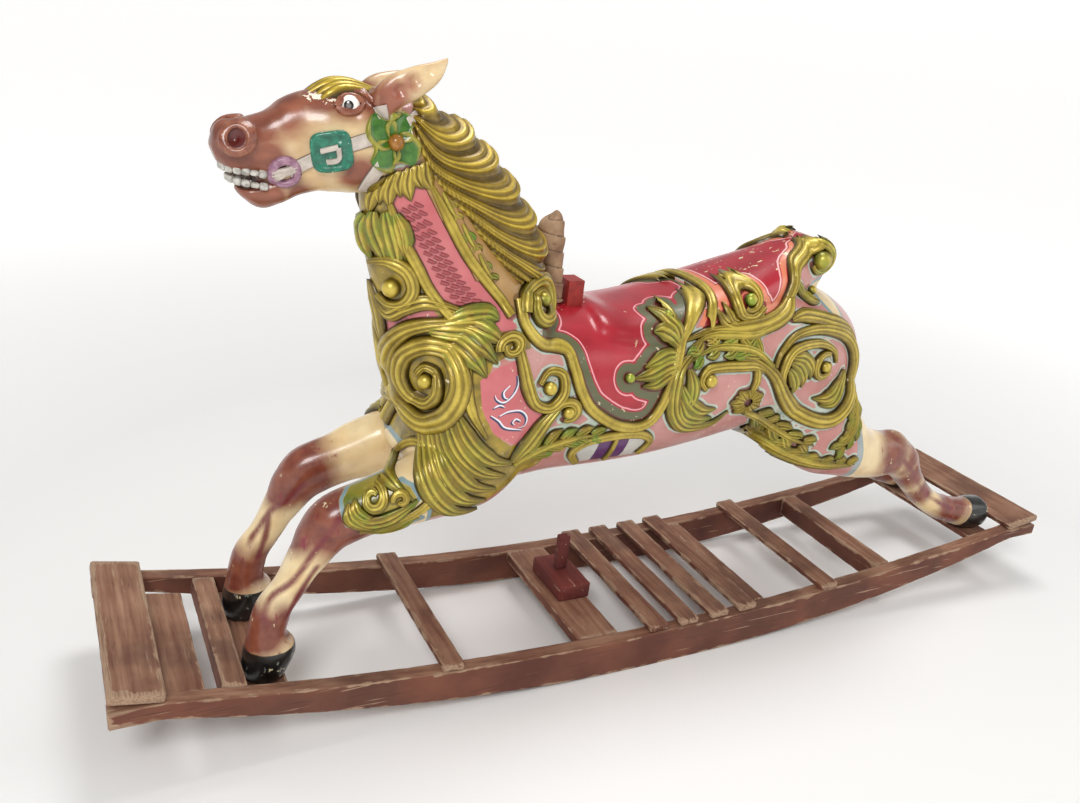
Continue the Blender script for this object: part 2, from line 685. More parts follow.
stroke(gilt, LEFT, BOW, [[-450, 540], [-470, 500], [-486, 460], [-492, 428]], 16, 11, leaf, 0.6, 0.3)
for lean, points in enumerate(([[-400, 664], [-350, 662], [-316, 646], [-290, 622]],
                               [[-396, 654], [-350, 644], [-322, 624], [-304, 602]],
                               [[-396, 646], [-364, 630], [-344, 610], [-332, 588]],
                               [[-392, 668], [-344, 674], [-306, 664], [-284, 650]],
                               [[-380, 676], [-340, 690], [-312, 690], [-296, 684]])):
    stroke(gilt, LEFT, BOW, points, 14, 15 - lean, leaf, 0.5, 0.1, belly=0.25, green=0.6)
stroke(gilt, LEFT, BOW, spiral((-273, 646), 18, 7, 200, -400), (9, 6), 12, stem, 0.8, 0.6)
stroke(gilt, LEFT, BOW, [[-332, 616], [-329, 580], [-318, 544], [-294, 504]], 8, 8, moulding, 0.6, 0.3)
stroke(gilt, LEFT, BOW, [[-264, 652], [-252, 618], [-240, 580], [-224, 552], [-200, 547], [-183, 568],
                         [-188, 596], [-210, 602], [-222, 584]], (10, 8), 12, stem, 0.6, 0.6)
ball(gilt, LEFT, BOW, (-206, 577), 12, 0.4)
stroke(gilt, LEFT, BOW, [[-254, 450], [-228, 486], [-208, 520], [-190, 542]], (15, 10), 12, leaf, 0.3, 0.7,
       green=0.3)
stroke(gilt, LEFT, BOW, spiral((-174, 536), 18, 14, 160, -270), 8, 12, stem, 0.7, 0.6)
ball(gilt, LEFT, BOW, (-172, 535), 11, 0.4)
acanthus(gilt, LEFT, BOW, [[-252, 446], [-206, 474], [-156, 487], [-112, 486]], 15, 5, 34, 10, 32, green=0.9)

# %% The upper leg: its cream patch is framed, and a leaf curls below it
stroke(gilt, LEFT, BOW, [[-446, 436], [-424, 464], [-396, 474], [-366, 458], [-357, 421], [-384, 385],
                         [-430, 360], [-474, 350]], 9, 8, moulding, 0.5, 0.4)
stroke(gilt, LEFT, BOW, [[-482, 398], [-472, 420], [-448, 430], [-420, 420], [-396, 402]], 9, 9, leaf,
       0.3, 0.2, green=0.5)
stroke(gilt, LEFT, BOW, [[-486, 376], [-462, 366], [-436, 370], [-410, 386], [-390, 402]], 12, 10, leaf,
       0.4, 0.2, green=0.9)
for points in ([[-484, 402], [-480, 386], [-464, 375], [-440, 371]],
               [[-493, 396], [-486, 374], [-458, 359], [-424, 360]],
               [[-468, 352], [-430, 350], [-404, 366], [-388, 388]]):
    stroke(gilt, LEFT, BOW, points, 8, 8, leaf, 0.3, 0.15, belly=0.2, green=0.7)
stroke(gilt, LEFT, BOW, spiral((-456, 404), 18, 7, 90, -400), (9, 6), 11, stem, 0.6, 0.6, green=0.2)
stroke(gilt, LEFT, BOW, spiral((-415, 405), 12, 5, 200, -330), 6, 9, stem, 0.7, 0.6)

# %% Neck: throat leaves, banner mouldings and the hair at its head
for side in (LEFT, RIGHT):
    stroke(gilt, side, BOW, [[-470, 850], [-452, 806], [-426, 762], [-400, 720], [-352, 668]], 9, 9,
           moulding, 0.5, 0.8)
    stroke(gilt, side, BOW, [[-414, 880], [-384, 828], [-356, 782], [-324, 742], [-278, 690]], 8, 8,
           moulding, 0.5, 0.8)
    for i in range(8):
        top = [-486 + 10 * i, 884 + 5 * i]
        low = [-500 + 15 * i, 828 + 7 * i + 12 * (i % 2)]
        mid = [(top[0] + low[0]) / 2 - 5, (top[1] + low[1]) / 2]
        stroke(gilt, side, BOW, [top, mid, low], 9, 8, leaf, 0.5, 0.05, belly=0.3)
for x, z in ((-398, 872), (-366, 826), (-338, 782)):
    acanthus(gilt, LEFT, BOW, [[x, z], [x + 12, z - 22], [x + 26, z - 42]], 9, 2, 16, 6, 30, green=1.0)
for points in ([[-506, 830], [-514, 806], [-506, 780], [-494, 762]],
               [[-494, 836], [-492, 810], [-480, 782], [-468, 754]],
               [[-476, 838], [-468, 808], [-458, 776], [-450, 746]],
               [[-462, 836], [-452, 812], [-446, 790], [-442, 768]]):
    stroke(gilt, LEFT, BOW, points, 13, 12, leaf, 0.5, 0.1, belly=0.25, green=0.7)
stroke(gilt, LEFT, BOW, [[-500, 756], [-470, 764], [-440, 752], [-428, 724], [-440, 700], [-464, 694],
                         [-484, 706]], (12, 9), 13, stem, 0.4, 0.6)
ball(gilt, LEFT, BOW, (-461, 723), 15, 0.4)
stroke(gilt, LEFT, BOW, [[-484, 690], [-464, 678], [-440, 694], [-410, 706], [-379, 701], [-340, 690]],
       13, 12, leaf, 0.4, 0.3)
stroke(gilt, LEFT, BOW, [[-505, 720], [-490, 680], [-482, 640], [-470, 610]], 13, 10, leaf, 0.4, 0.4)

# %% Rump and flank: a great circle, with scrolls inside it and leaves all round
CIRCLE = [
    [52, 604], [91, 600], [139, 570], [182, 519], [236, 478], [295, 464], [340, 488], [364, 533],
    [356, 588], [322, 624], [253, 643], [188, 638], [150, 610], [140, 584],
]
for side in (LEFT, RIGHT):
    stroke(gilt, side, BEAM, CIRCLE, (17, 11), 13, stem, 0.3, 0.4)
    stroke(gilt, side, BEAM, [[128, 452], [180, 420], [240, 388], [316, 366], [392, 358]], 17, 11, leaf,
           0.3, 0.3, green=0.3)
    stroke(gilt, side, BEAM, [[-37, 614], [-66, 588], [-76, 550], [-68, 510], [-36, 482], [20, 480],
                              [54, 504]], 15, 12, leaf, 0.3, 0.1, green=0.3)
acanthus(gilt, LEFT, BEAM, [[132, 586], [95, 612], [57, 621], [0, 620], [-50, 598]], 17, 5, 32, 11, 34,
         green=0.9)
for points in ([[-60, 560], [-40, 530], [-10, 512], [24, 512]],
               [[-64, 540], [-46, 506], [-14, 494], [20, 494]],
               [[-46, 590], [-36, 556], [-40, 530], [-56, 510]]):
    stroke(gilt, LEFT, BEAM, points, 12, 11, leaf, 0.4, 0.1, belly=0.2, green=0.5)
stroke(gilt, LEFT, BEAM, [[128, 574], [94, 588], [56, 590], [20, 590], [-8, 586], [-20, 568], [-8, 552]],
       (11, 8), 11, stem, 0.4, 0.7)
ball(gilt, LEFT, BEAM, (-3, 568), 13, 0.4)
stroke(gilt, LEFT, BEAM, [[176, 526], [160, 572], [180, 612], [240, 620], [284, 604], [296, 580]],
       (11, 7), 11, stem, 0.3, 0.5)
stroke(gilt, LEFT, BEAM, spiral((262, 574), 26, 14, 60, 330), (9, 6), 11, stem, 0.6, 0.6)
ball(gilt, LEFT, BEAM, (264, 575), 11, 0.4)
for points in ([[178, 600], [206, 596], [226, 578], [232, 552]],
               [[176, 590], [198, 580], [212, 560], [214, 538]],
               [[174, 578], [188, 562], [196, 544], [194, 526]],
               [[322, 546], [306, 520], [284, 508], [254, 510]],
               [[330, 560], [322, 530], [300, 500], [270, 496]]):
    stroke(gilt, LEFT, BEAM, points, 11, 11, leaf, 0.4, 0.1, belly=0.25, green=0.3)
acanthus(gilt, LEFT, BEAM, [[90, 500], [140, 480], [187, 454], [230, 428], [280, 412]], 18, 5, 38, 11, 30,
         green=0.4)
acanthus(gilt, LEFT, BEAM, [[150, 440], [210, 404], [280, 376], [350, 364], [398, 360]], 16, 6, 34, 10, 30,
         (1,), green=0.3)
acanthus(gilt, LEFT, BEAM, [[366, 520], [372, 470], [366, 430], [336, 396]], 17, 5, 36, 10, 34, green=0.6)
stroke(gilt, LEFT, BEAM, [[98, 588], [102, 562], [96, 540]], 8, 10, stem, 0.6, 0.7)
# the flower hangs head down from its stalk
for i in range(14):
    angle = 2 * math.pi * i / 14
    far = 34 + 5 * (i % 2)
    inner = [92 + 10 * math.cos(angle), 520 + 8 * math.sin(angle)]
    outer = [92 + far * math.cos(angle), 520 + 0.75 * far * math.sin(angle)]
    middle = [(inner[0] + outer[0]) / 2, (inner[1] + outer[1]) / 2]
    stroke(gilt, LEFT, BEAM, [inner, middle, outer], 8, 10, leaf, 0.8, 0.1, belly=0.3)

# %% Girth
for side in (LEFT, RIGHT):
    stroke(gilt, side, BEAM, [[-236, 422], [-258, 452], [-236, 474], [-180, 480], [-128, 476], [-102, 458],
                              [-112, 428]], 9, 8, moulding, 0.7, 0.7)
    stroke(gilt, side, BEAM, [[-176, 474], [-177, 446], [-178, 420]], 5, 6, moulding, 0.8, 0.8)
gilding = gilt.finish()

# %% [markdown]
# ## The mane
# The locks leave the crest in S-shaped waves and fall back in steps. Each one is a fat
# rope with ridges along it, like combed hair.

# %% Locks of hair
def lock(carving, stations, ridges=4, sides=28, green=0.0):
    """A lock through [x, y, z, half height, half thickness], with combed ridges."""
    stations = np.asarray(stations, float)
    t = np.linspace(0, 1, (len(stations) - 1) * 9 + 1)
    values = curve_at(stations, t)
    along = unit(curve_at(stations, np.minimum(1, t + 0.01))[:, :3]
                 - curve_at(stations, np.maximum(0, t - 0.01))[:, :3])
    across = unit(np.array([0, 1, 0]) - along * along[:, 1:2])
    fore = np.cross(along, across)
    angle = 2 * np.pi * np.arange(sides) / sides
    rows, shade = [], []
    for i, row in enumerate(values):
        comb = 0.5 + 0.5 * np.cos(ridges * angle + 2.5 * t[i] + stations[0][0])
        size = 1 - 0.2 * (1 - comb) ** 2
        up, out = max(1, row[3]), max(1, row[4])
        ring = (row[:3] + np.outer(out * size * np.cos(angle), across[i])
                + np.outer(up * size * np.sin(angle), fore[i]))
        rows.append(ring * MM)
        shade.append(comb**0.7)
    carving.grid(rows, True, np.array(shade), green, 0.0)


# %% The mane, one sheet over the crest that is cut into locks
MANE_INNER = [[-546, 972], [-522, 912], [-496, 874], [-458, 838], [-429, 800], [-394, 762], [-358, 732]]
MANE_CREST = [[-530, 1000], [-457, 966], [-411, 930], [-368, 886], [-332, 838], [-304, 790], [-300, 744]]
LOCKS, SWEEP, COMBS = 6.2, 0.44, 4
LOCK_RELIEF, COMB_RELIEF, TIP_REACH = 7.0, 3.8, 15.0


def combed_mane(carving, count=260, half_count=78):
    """Rows run round the crest from the near side's edge of the mane to the far side's."""
    u = np.linspace(0, 1, count)
    inner, crest = curve_at(MANE_INNER, u), curve_at(MANE_CREST, u)
    neck_half = [abs(skin.at(x, z, BEAM, LEFT)[0][1]) / MM for x, z in curve_at(MANE_INNER, u[::20])]
    neck_half = np.interp(u, u[::20], neck_half)
    way = unit(np.gradient(crest, axis=0))
    outward = np.stack([-way[:, 1], way[:, 0]], axis=1)
    closing = np.clip(u / 0.06, 0, 1) * np.clip((1 - u) / 0.05, 0, 1)
    closing = np.sqrt(closing * (2 - closing))
    v = np.linspace(-1, 1, 2 * half_count + 1)
    out = 1 - np.abs(v)                # 0 at an edge of the mane, and 1 at the crest
    flow = u[:, None] - SWEEP * (1 - np.exp(-out / 0.2)) + 0.04 * out**5
    flow = flow * LOCKS + 0.12 * np.sign(v) * (1 - out)
    part = flow - np.floor(flow)
    swell = np.sin(np.pi * part**1.35) ** 0.6
    comb = 0.5 + 0.5 * np.cos(2 * np.pi * (COMBS * part + 0.25 * np.sin(3 * np.floor(flow))))
    tip = part**1.2 * (1 - part**9)
    reach = np.sin(out * np.pi / 2) ** 0.9
    width = (neck_half[:, None] + 11) * np.cos(out * np.pi / 2) ** 0.62 * closing[:, None]
    flat = inner[:, None] + (crest - inner)[:, None] * reach[None, :, None]
    flat = flat + outward[:, None] * (TIP_REACH * tip * out**3 * closing[:, None])[..., None]
    points = np.stack([flat[..., 0], width * np.sign(v), flat[..., 1]], axis=2)
    normal = unit(np.cross(np.gradient(points, axis=1), np.gradient(points, axis=0)))
    normal *= np.sign((normal[..., 1] * np.sign(v))[count // 2, half_count // 2])
    lift = (LOCK_RELIEF * (swell - 0.7) + COMB_RELIEF * (comb - 0.5) * swell) * closing[:, None]
    points = points + normal * lift[..., None]
    for edge in (0, -1):
        points[:, edge, 1] *= 0.6      # the edges sink into the neck
    carving.grid(points * MM, False, np.clip(0.2 + 0.5 * swell * comb**0.7 + 0.3 * swell, 0, 1), 0, 0)


mane = Carving("mane")
combed_mane(mane)
for side in (LEFT, RIGHT):
    for i in range(3):
        lock(mane, [
            [-590 - 6 * i, (4 + 7 * i) * side, 997, 12, 12],
            [-626 - 4 * i, (7 + 8 * i) * side, 1005 - 3 * i, 15, 14],
            [-656, (8 + 9 * i) * side, 1003 - 5 * i, 14, 12],
            [-688 + 6 * i, (8 + 8 * i) * side, 991 - 5 * i, 4, 5],
        ], 4, 24)
mane_hair = mane.finish()

# %% [markdown]
# ## The bridle
# The straps are carved in one with the head and painted. A strap is a flat stroke with
# square edges, the ring and the buckle lie on it, and four petals make the rosette.

# %% Straps
straps = Carving("bridle_straps")
for side in (LEFT, RIGHT):
    for path, half in (([[-716, 892], [-692, 905], [-662, 922], [-620, 939], [-585, 948]], 10),
                       ([[-578, 950], [-588, 972], [-594, 990]], 9),
                       ([[-580, 930], [-592, 905], [-603, 884], [-606, 868]], 11),
                       ([[-552, 962], [-534, 974], [-514, 986]], 9)):
        stroke(straps, side, BEAM, path, half, 4, strap, 1, 1, mark=False)
    for path, half in (([[-738, 889], [-722, 892], [-706, 897]], 7),
                       ([[-734, 882], [-722, 890], [-712, 900]], 5)):
        stroke(straps, side, BEAM, path, half, 9, moulding, 0.8, 0.8, mark=False)
bridle = straps.finish()

# %% Ring, buckle and rosette
def plate(carving, side, centre, half, height, turn, power=4.0):
    """A rounded square with a raised rim, laid on the skin. The rim's ridge is 1."""
    around = np.linspace(0, 2 * np.pi, 48, endpoint=False) + math.radians(turn)
    square = (np.abs(np.cos(around)) ** power + np.abs(np.sin(around)) ** power) ** (-1 / power)
    tilt = math.radians(turn - 12)
    rows, ridge = [], []
    for share, lift in ((1.0, -0.2), (1.0, 0.5), (0.95, 0.95), (0.84, 1.0), (0.76, 0.62),
                        (0.5, 0.55), (0.25, 0.55), (0.02, 0.55)):
        row = []
        for angle, reach in zip(around, square):
            u = math.cos(angle) * reach * half * share
            v = math.sin(angle) * reach * half * share
            s = centre[0] + u * math.cos(tilt) - v * math.sin(tilt)
            z = centre[1] + u * math.sin(tilt) + v * math.cos(tilt)
            place, normal = skin.at(s, z, BEAM, side)
            row.append(place + normal * lift * height * MM)
        rows.append(row)
        ridge.append(np.full(len(around), max(0, lift)))
    carving.grid(rows, True, np.array(ridge), 0, 0)


rings = Carving("bit_rings")
buckles = Carving("buckles")
tongues = Carving("buckle_tongues")
for side in (LEFT, RIGHT):
    circle = [[-721 + 17 * math.cos(a), 890 + 17 * math.sin(a)]
              for a in np.linspace(0, 2 * math.pi, 17)]
    stroke(rings, side, BEAM, circle, 6.5, 8, moulding, 1, 1, step=3, mark=False)
    plate(buckles, side, (-660, 924), 28, 9, 24)
    for path in ([[-674, 925], [-653, 932]], [[-653, 932], [-650, 915], [-665, 910]]):
        stroke(tongues, side, BEAM, path, 4, 10, strap, 1, 1, step=3, mark=False)


def petal(a):
    return 0.55 + 0.45 * np.clip((np.abs(a) - 0.62) * 6, 0, 1) - 1.2 * np.clip(np.abs(a) - 0.93, 0, 1)


petals = Carving("rosette_petals")
ROSETTE = (-571, 940)
for side in (LEFT, RIGHT):
    for x, z in ((-600, 974), (-543, 969), (-603, 913), (-543, 910)):
        way = np.array([x - ROSETTE[0], z - ROSETTE[1]], float)
        bent = np.array([-way[1], way[0]]) * 0.12
        points = [ROSETTE, ROSETTE + 0.35 * way + bent, ROSETTE + 0.75 * way + bent, ROSETTE + 1.08 * way]
        stroke(petals, side, BEAM, points, 19, 9, petal, 0.45, 0.12, belly=0.25, across=15, step=3,
               mark=False)
    ball(petals, side, BEAM, ROSETTE, 12, 0.75, tone=1.0)
bit_rings, buckle_plates, buckle_tongues, rosettes = (
    part.finish() for part in (rings, buckles, tongues, petals))

# %% [markdown]
# ## Colours and nodes
# Every colour below is given as it looks, in sRGB hex, and one function turns it to the
# linear values that the renderer works in.

# %% Colour and node helpers
def rgb(code):
    channels = [int(code[i:i + 2], 16) / 255 for i in (1, 3, 5)]
    return [c / 12.92 if c <= 0.04045 else ((c + 0.055) / 1.055) ** 2.4 for c in channels] + [1]


def add(tree, kind, links=None, stops=None, **settings):
    """Adds a node, with its settings, its inputs as values or links, and a ramp's stops."""
    node = tree.nodes.new(kind)
    for key, value in settings.items():
        setattr(node, key, value)
    for key, value in (links or {}).items():
        if isinstance(value, bpy.types.NodeSocket):
            tree.links.new(value, node.inputs[key])
        else:
            node.inputs[key].default_value = value
    if stops:
        ramp = node.color_ramp
        while len(ramp.elements) < len(stops):
            ramp.elements.new(0.5)
        for element, (place, code) in zip(ramp.elements, stops):
            element.position = place
            element.color = rgb(code)
    return node

# %% [markdown]
# ## Eyes and teeth
# An eye is a ball of glass in an almond of lids. The teeth are one small rounded block,
# set along an arch by Geometry Nodes.

# %% Eyes
def eye(side):
    x, y, z = EYE
    centre = np.array([x, (y - 8) * side, z]) * MM
    gaze = unit(np.array([-0.35, side, 0.10]))
    e1 = unit(np.cross(gaze, (0, 0, 1.0)))
    e2 = np.cross(gaze, e1)
    rows, rim = [], []
    for polar in np.linspace(0.02, 2.2, 26):
        angle = np.linspace(0, 2 * np.pi, 36, endpoint=False)
        ring = (np.outer(np.cos(angle), e1) + np.outer(np.sin(angle), e2)) * math.sin(polar)
        rows.append(centre + (ring + gaze * math.cos(polar)) * 15.5 * MM)
        rim.append(np.full(36, polar))
    return rows, rim


eyes = Carving("eyes")
lids = Carving("eyelids")
for side in (LEFT, RIGHT):
    rows, rim = eye(side)
    eyes.grid(rows, True, np.array(rim), 0, 0)
    x, y, z = EYE
    for bend, half in ((10, 6), (-6, 4.5)):
        arc = [[x - 22, z - 3], [x - 10, z - 3 + bend], [x + 8, z - 1 + bend], [x + 20, z + 3]]
        stroke(lids, side, BEAM, arc, half, 8, moulding, 0.5, 0.5, step=2, mark=False)
    rim = [[-661.5 + 18 * math.cos(a), 933 + 18 * math.sin(a)] for a in np.linspace(0, 2 * math.pi, 17)]
    stroke(lids, side, BOW, rim, 5.5, 6, moulding, 1, 1, step=2, mark=False)
    brow = [[x - 24, z + 12], [x - 6, z + 24], [x + 16, z + 22], [x + 30, z + 8]]
    stroke(lids, side, BEAM, brow, 9, 7, moulding, 0.2, 0.1, step=3, mark=False)
eyeballs, eyelids = eyes.finish(), lids.finish()


# %% Teeth, set along an arch
def group_input(tree, name, kind):
    return tree.interface.new_socket(name, in_out="INPUT", socket_type=kind)


def set_along(name, arch, block, count, size):
    """Copies of a block, count in all, along a line of points. size is (along, across, high)."""
    tree = bpy.data.node_groups.new(name + " rule", "GeometryNodeTree")
    sockets = [group_input(tree, "Arch", "NodeSocketGeometry"),
               group_input(tree, "Block", "NodeSocketObject"),
               group_input(tree, "Count", "NodeSocketInt"),
               group_input(tree, "Size", "NodeSocketVector")]
    tree.interface.new_socket("Geometry", in_out="OUTPUT", socket_type="NodeSocketGeometry")
    start = add(tree, "NodeGroupInput").outputs
    curve = add(tree, "GeometryNodeMeshToCurve", {0: start["Arch"]})
    spaced = add(tree, "GeometryNodeResampleCurve", {"Curve": curve.outputs[0], "Count": start["Count"]})
    tangent = add(tree, "GeometryNodeInputTangent")
    turn = add(tree, "FunctionNodeAlignRotationToVector", {"Vector": tangent.outputs[0]}, axis="X")
    source = add(tree, "GeometryNodeObjectInfo", {"Object": start["Block"]})
    copies = add(tree, "GeometryNodeInstanceOnPoints", {
        "Points": spaced.outputs[0], "Instance": source.outputs["Geometry"],
        "Rotation": turn.outputs[0], "Scale": start["Size"]})
    real = add(tree, "GeometryNodeRealizeInstances", {0: copies.outputs[0]})
    done = add(tree, "GeometryNodeSetMaterial", {0: real.outputs[0]})
    add(tree, "NodeGroupOutput", {0: done.outputs[0]})
    points = np.asarray(arch) * MM
    line = bpy.data.meshes.new(name)
    line.from_pydata([tuple(p) for p in points], [(i, i + 1) for i in range(len(points) - 1)], [])
    piece = bpy.data.objects.new(name, line)
    bpy.context.scene.collection.objects.link(piece)
    rule = piece.modifiers.new("rule", "NODES")
    rule.node_group = tree
    for socket, value in zip(sockets[1:], (block, count, [v * MM for v in size])):
        rule[socket.identifier] = value
    bpy.context.view_layer.update()
    return evaluated(piece)


# %% [markdown]
# One rounded block is the pattern for every tooth. Geometry Nodes set copies of it along
# an arch for each jaw, turned to follow it.

# %% A tooth, and the jaws
def rounded_block():
    """A block of unit size with soft corners."""
    angle, power = np.linspace(0, 2 * np.pi, 16, endpoint=False), 3.5
    around = (np.abs(np.cos(angle)) ** power + np.abs(np.sin(angle)) ** power) ** (-1 / power)
    rings = []
    for polar in np.linspace(-1.45, 1.45, 9):
        flat = (abs(math.cos(polar)) ** power + abs(math.sin(polar)) ** power) ** (-1 / power)
        wide = math.cos(polar) * flat * around
        rings.append(np.stack([wide * np.cos(angle), wide * np.sin(angle),
                               np.full(16, math.sin(polar) * flat)], axis=1) * 0.5)
    points, faces = skin_of_rings(rings)
    return new_mesh("tooth_block", points, faces)


def arch(front, back, half, z_front, z_back):
    """A U from the back of one side, round the front, to the back of the other."""
    t = np.linspace(-1, 1, 25)
    x = front + (back - front) * np.abs(t) ** 2.2
    return np.stack([x, half * np.sin(t * np.pi / 2), z_front + (z_back - z_front) * np.abs(t) ** 1.5], 1)


block = rounded_block()
upper_teeth = set_along("upper_teeth", arch(-802, -750, 32, 893, 886), block, 13, (12, 8, 13))
lower_teeth = set_along("lower_teeth", arch(-793, -748, 29, 876, 868), block, 11, (12.5, 8, 11))
bpy.data.objects.remove(block)

# %% [markdown]
# ## Straps, marks and painted flourishes on the body
# The banner down the neck carries a row of shallow gouged commas. A brushed flourish in
# blue and white fills the cartouche.

# %% Rein, banner marks and flourish
rein = Carving("neck_rein")
for side in (LEFT, RIGHT):
    stroke(rein, side, BOW, REIN, 14, 4, strap, 1, 1, mark=False)
rein_band = rein.finish()

marks = Carving("banner_marks")
for side in (LEFT, RIGHT):
    path, aside = flat_path([[-440, 852], [-414, 806], [-388, 764], [-360, 726], [-328, 694]],
                            np.linspace(0.04, 0.96, 15))
    for place, out in zip(path, aside):
        ahead = np.array([out[1], -out[0]])
        for shift in (-10, 0, 10):
            middle = place + out * shift
            comma = [middle - out * 5 - ahead * 5, middle + ahead * 1.5, middle + out * 5 + ahead * 5]
            stroke(marks, side, BOW, comma, 3.0, 3.4, moulding, 1.0, 0.2, across=7, step=2, mark=False)
banner_marks = marks.finish()

flourish = Carving("cartouche_flourish")
for tone, shift in ((0.0, 0.0), (1.0, 1.6)):
    curls = [[[-258, 602], [-256, 585], [-262, 570], [-274, 560], [-285, 565], [-289, 573]],
             [[-268, 586], [-276, 577], [-274, 568], [-266, 564]],
             [[-289, 552], [-280, 556], [-272, 552]],
             [[-292, 540], [-279, 530], [-269, 518], [-250, 511], [-242, 508]],
             [[-279, 538], [-266, 544], [-248, 543], [-237, 530], [-239, 516], [-249, 513]],
             [[-246, 525], [-253, 530], [-258, 525], [-254, 520]]]
    for curl in curls:
        moved = [[s + shift, z + shift] for s, z in curl]
        stroke(flourish, LEFT, BOW, moved, 2.2 - 0.7 * tone, 0.7 + 0.3 * tone, moulding, 0.5, 0.2,
               across=5, step=2, tone=tone, mark=False)
painted_flourish = flourish.finish()

# %% [markdown]
# ## The taped post
# The post that a rider holds is bound in cloth tape. Each turn laps over the last, so
# the radius grows along a helix and drops at each lap. The top is torn and gathered.

# %% Post
POST_LEAN = -0.11
POST_FOOT = (-268 - math.tan(POST_LEAN) * 76, 0, 680)
TAPE_LAP = 27.0
rows, laps = [], []
for up_post in np.linspace(0, 152, 150):
    angle = np.linspace(0, 2 * np.pi, 48, endpoint=False)
    turn = np.mod(up_post / TAPE_LAP + angle / (2 * np.pi), 1)
    bulge = math.exp(-((up_post - 106) / 16) ** 2)
    torn = max(0, (up_post - 124) / 28)
    radius = (20.6 + 2.8 * turn + 2.4 * bulge) * math.sqrt(max(0.02, 1 - 0.93 * torn**2))
    radius = radius * (1 + 0.07 * torn * np.sin(3 * angle + 1))
    x = POST_FOOT[0] + math.tan(POST_LEAN) * up_post + 6 * torn + radius * np.cos(angle)
    z = POST_FOOT[2] + up_post + torn * (6 * np.cos(angle) - 4)
    rows.append(np.stack([x, radius * np.sin(angle), z], axis=1) * MM)
    laps.append(turn)
tape = Carving("taped_post")
tape.grid(rows, True, np.array(laps), 0, 0)
taped_post = tape.finish()

# %% [markdown]
# ## Timber
# The rocker's rails, slats and boards are plain sawn wood with worn arrises. Each bar
# takes its corners from the frame, gets soft edges with small nicks, and keeps how near
# each point is to an edge, so that the paint can be worn there.

# %% Bars with worn edges
WEAR_REACH = 12.0


def ring_round(corners, soft):
    """Points round a four-cornered section with soft corners, and how worn each is."""
    points, worn = [], []
    for i in range(4):
        corner = corners[i]
        before, after = corners[i - 1] - corner, corners[(i + 1) % 4] - corner
        gaps = np.linalg.norm(before), np.linalg.norm(after)
        for way, gap, order in ((before / gaps[0], gaps[0], (WEAR_REACH, 5, soft)),
                                (after / gaps[1], gaps[1], (soft, 5, WEAR_REACH))):
            for reach in order:
                inset = min(reach, 0.45 * gap) if reach > soft else min(soft, 0.3 * gap)
                points.append(corner + way * inset)
                worn.append(max(0, 1 - inset / WEAR_REACH))
            if order[0] > soft:
                points.append(corner + (before / gaps[0] + after / gaps[1]) * soft * 0.29)
                worn.append(1.0)
    return np.array(points), np.array(worn)


def bar(name, sections, soft=2.2, nick=0.9):
    """sections are lists of four corners, in millimetres, along the bar."""
    rows, values = [], []
    length = np.linalg.norm(np.mean(sections[-1], axis=0) - np.mean(sections[0], axis=0))
    steps = max(6, int(length / 16))
    for i in range(steps + 1):
        t = i / steps
        at = t * (len(sections) - 1)
        k = min(int(at), len(sections) - 2)
        corners = sections[k] + (sections[k + 1] - sections[k]) * (at - k)
        points, worn = ring_round(corners, soft)
        middle = points.mean(axis=0)
        bites = np.where(worn > 0.8, nick * dice.random(len(points)) ** 3, 0)
        points = points + unit(middle - points) * bites[:, None]
        end_gap = min(t, 1 - t) * length
        rows.append(points)
        values.append(np.maximum(worn, max(0, 1 - end_gap / WEAR_REACH)))
    for end in (0, -1):
        middle = rows[end].mean(axis=0)
        inner = rows[end] + unit(middle - rows[end]) * soft
        inward = unit(rows[1 if end == 0 else -2].mean(axis=0) - middle) * soft
        rows[end] = rows[end] + inward
        rows = [inner] + rows if end == 0 else rows + [inner]
        values = [np.ones(len(inner))] + values if end == 0 else values + [np.ones(len(inner))]
    timber = Carving(name)
    timber.grid(np.array(rows) * MM, True, np.array(values), 0, 0)
    return timber.finish()


# %% [markdown]
# The frame gives each board and rail its place and size, so the worn timber follows it.

# %% Boards and rails of the rocker
def node_points(node):
    return points_of(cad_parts[node]) / MM


def plank(node):
    """A board whose section in X and Z is the same all the way across."""
    points = node_points(node)
    corners = np.unique(np.round(points[:, [0, 2]], 2), axis=0)
    middle = corners.mean(axis=0)
    order = np.argsort(np.arctan2(*(corners - middle).T[::-1]))
    ends = points[:, 1].min(), points[:, 1].max()
    sections = [np.array([(x, y, z) for x, z in corners[order]]) for y in ends]
    return bar(node + "_wood", sections)


def rail(node):
    """A bowed rail: its top and underside follow the frame's at each place along it."""
    points = node_points(node)
    y0, y1 = points[:, 1].min(), points[:, 1].max()
    places = np.unique(np.round(points[:, 0], 1))
    top, under = [], []
    for x in places:
        heights = points[np.abs(points[:, 0] - x) < 0.2, 2]
        top.append(heights.max())
        under.append(heights.min())
    places, top, under = (np.array(v) for v in (places, top, under))
    inner_x = np.linspace(places[0], places[-1], 121)
    deep = top - under > 12
    z_top = np.interp(inner_x, places[deep], top[deep])
    z_under = np.interp(inner_x, places[deep], under[deep])
    sections = [np.array([(x, y0, b), (x, y1, b), (x, y1, a), (x, y0, a)])
                for x, a, b in zip(inner_x, z_top, z_under)]
    return bar(node + "_wood", sections)


CROSS_BOARDS = [n for n in sorted(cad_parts)
                if n.startswith(("slat", "front_", "middle", "rear_", "step"))]
boards = {node: plank(node) for node in CROSS_BOARDS}
rails = {node: rail(node) for node in ("near_rail", "far_rail")}

# %% [markdown]
# ## Where each colour lies
# Paint zones have crisp hand-cut edges, which vertex colours would blur. So each point of
# the skin keeps its distance to a zone's outline instead, and the material cuts the
# colour exactly at distance nought. Lines and borders are cut the same way.

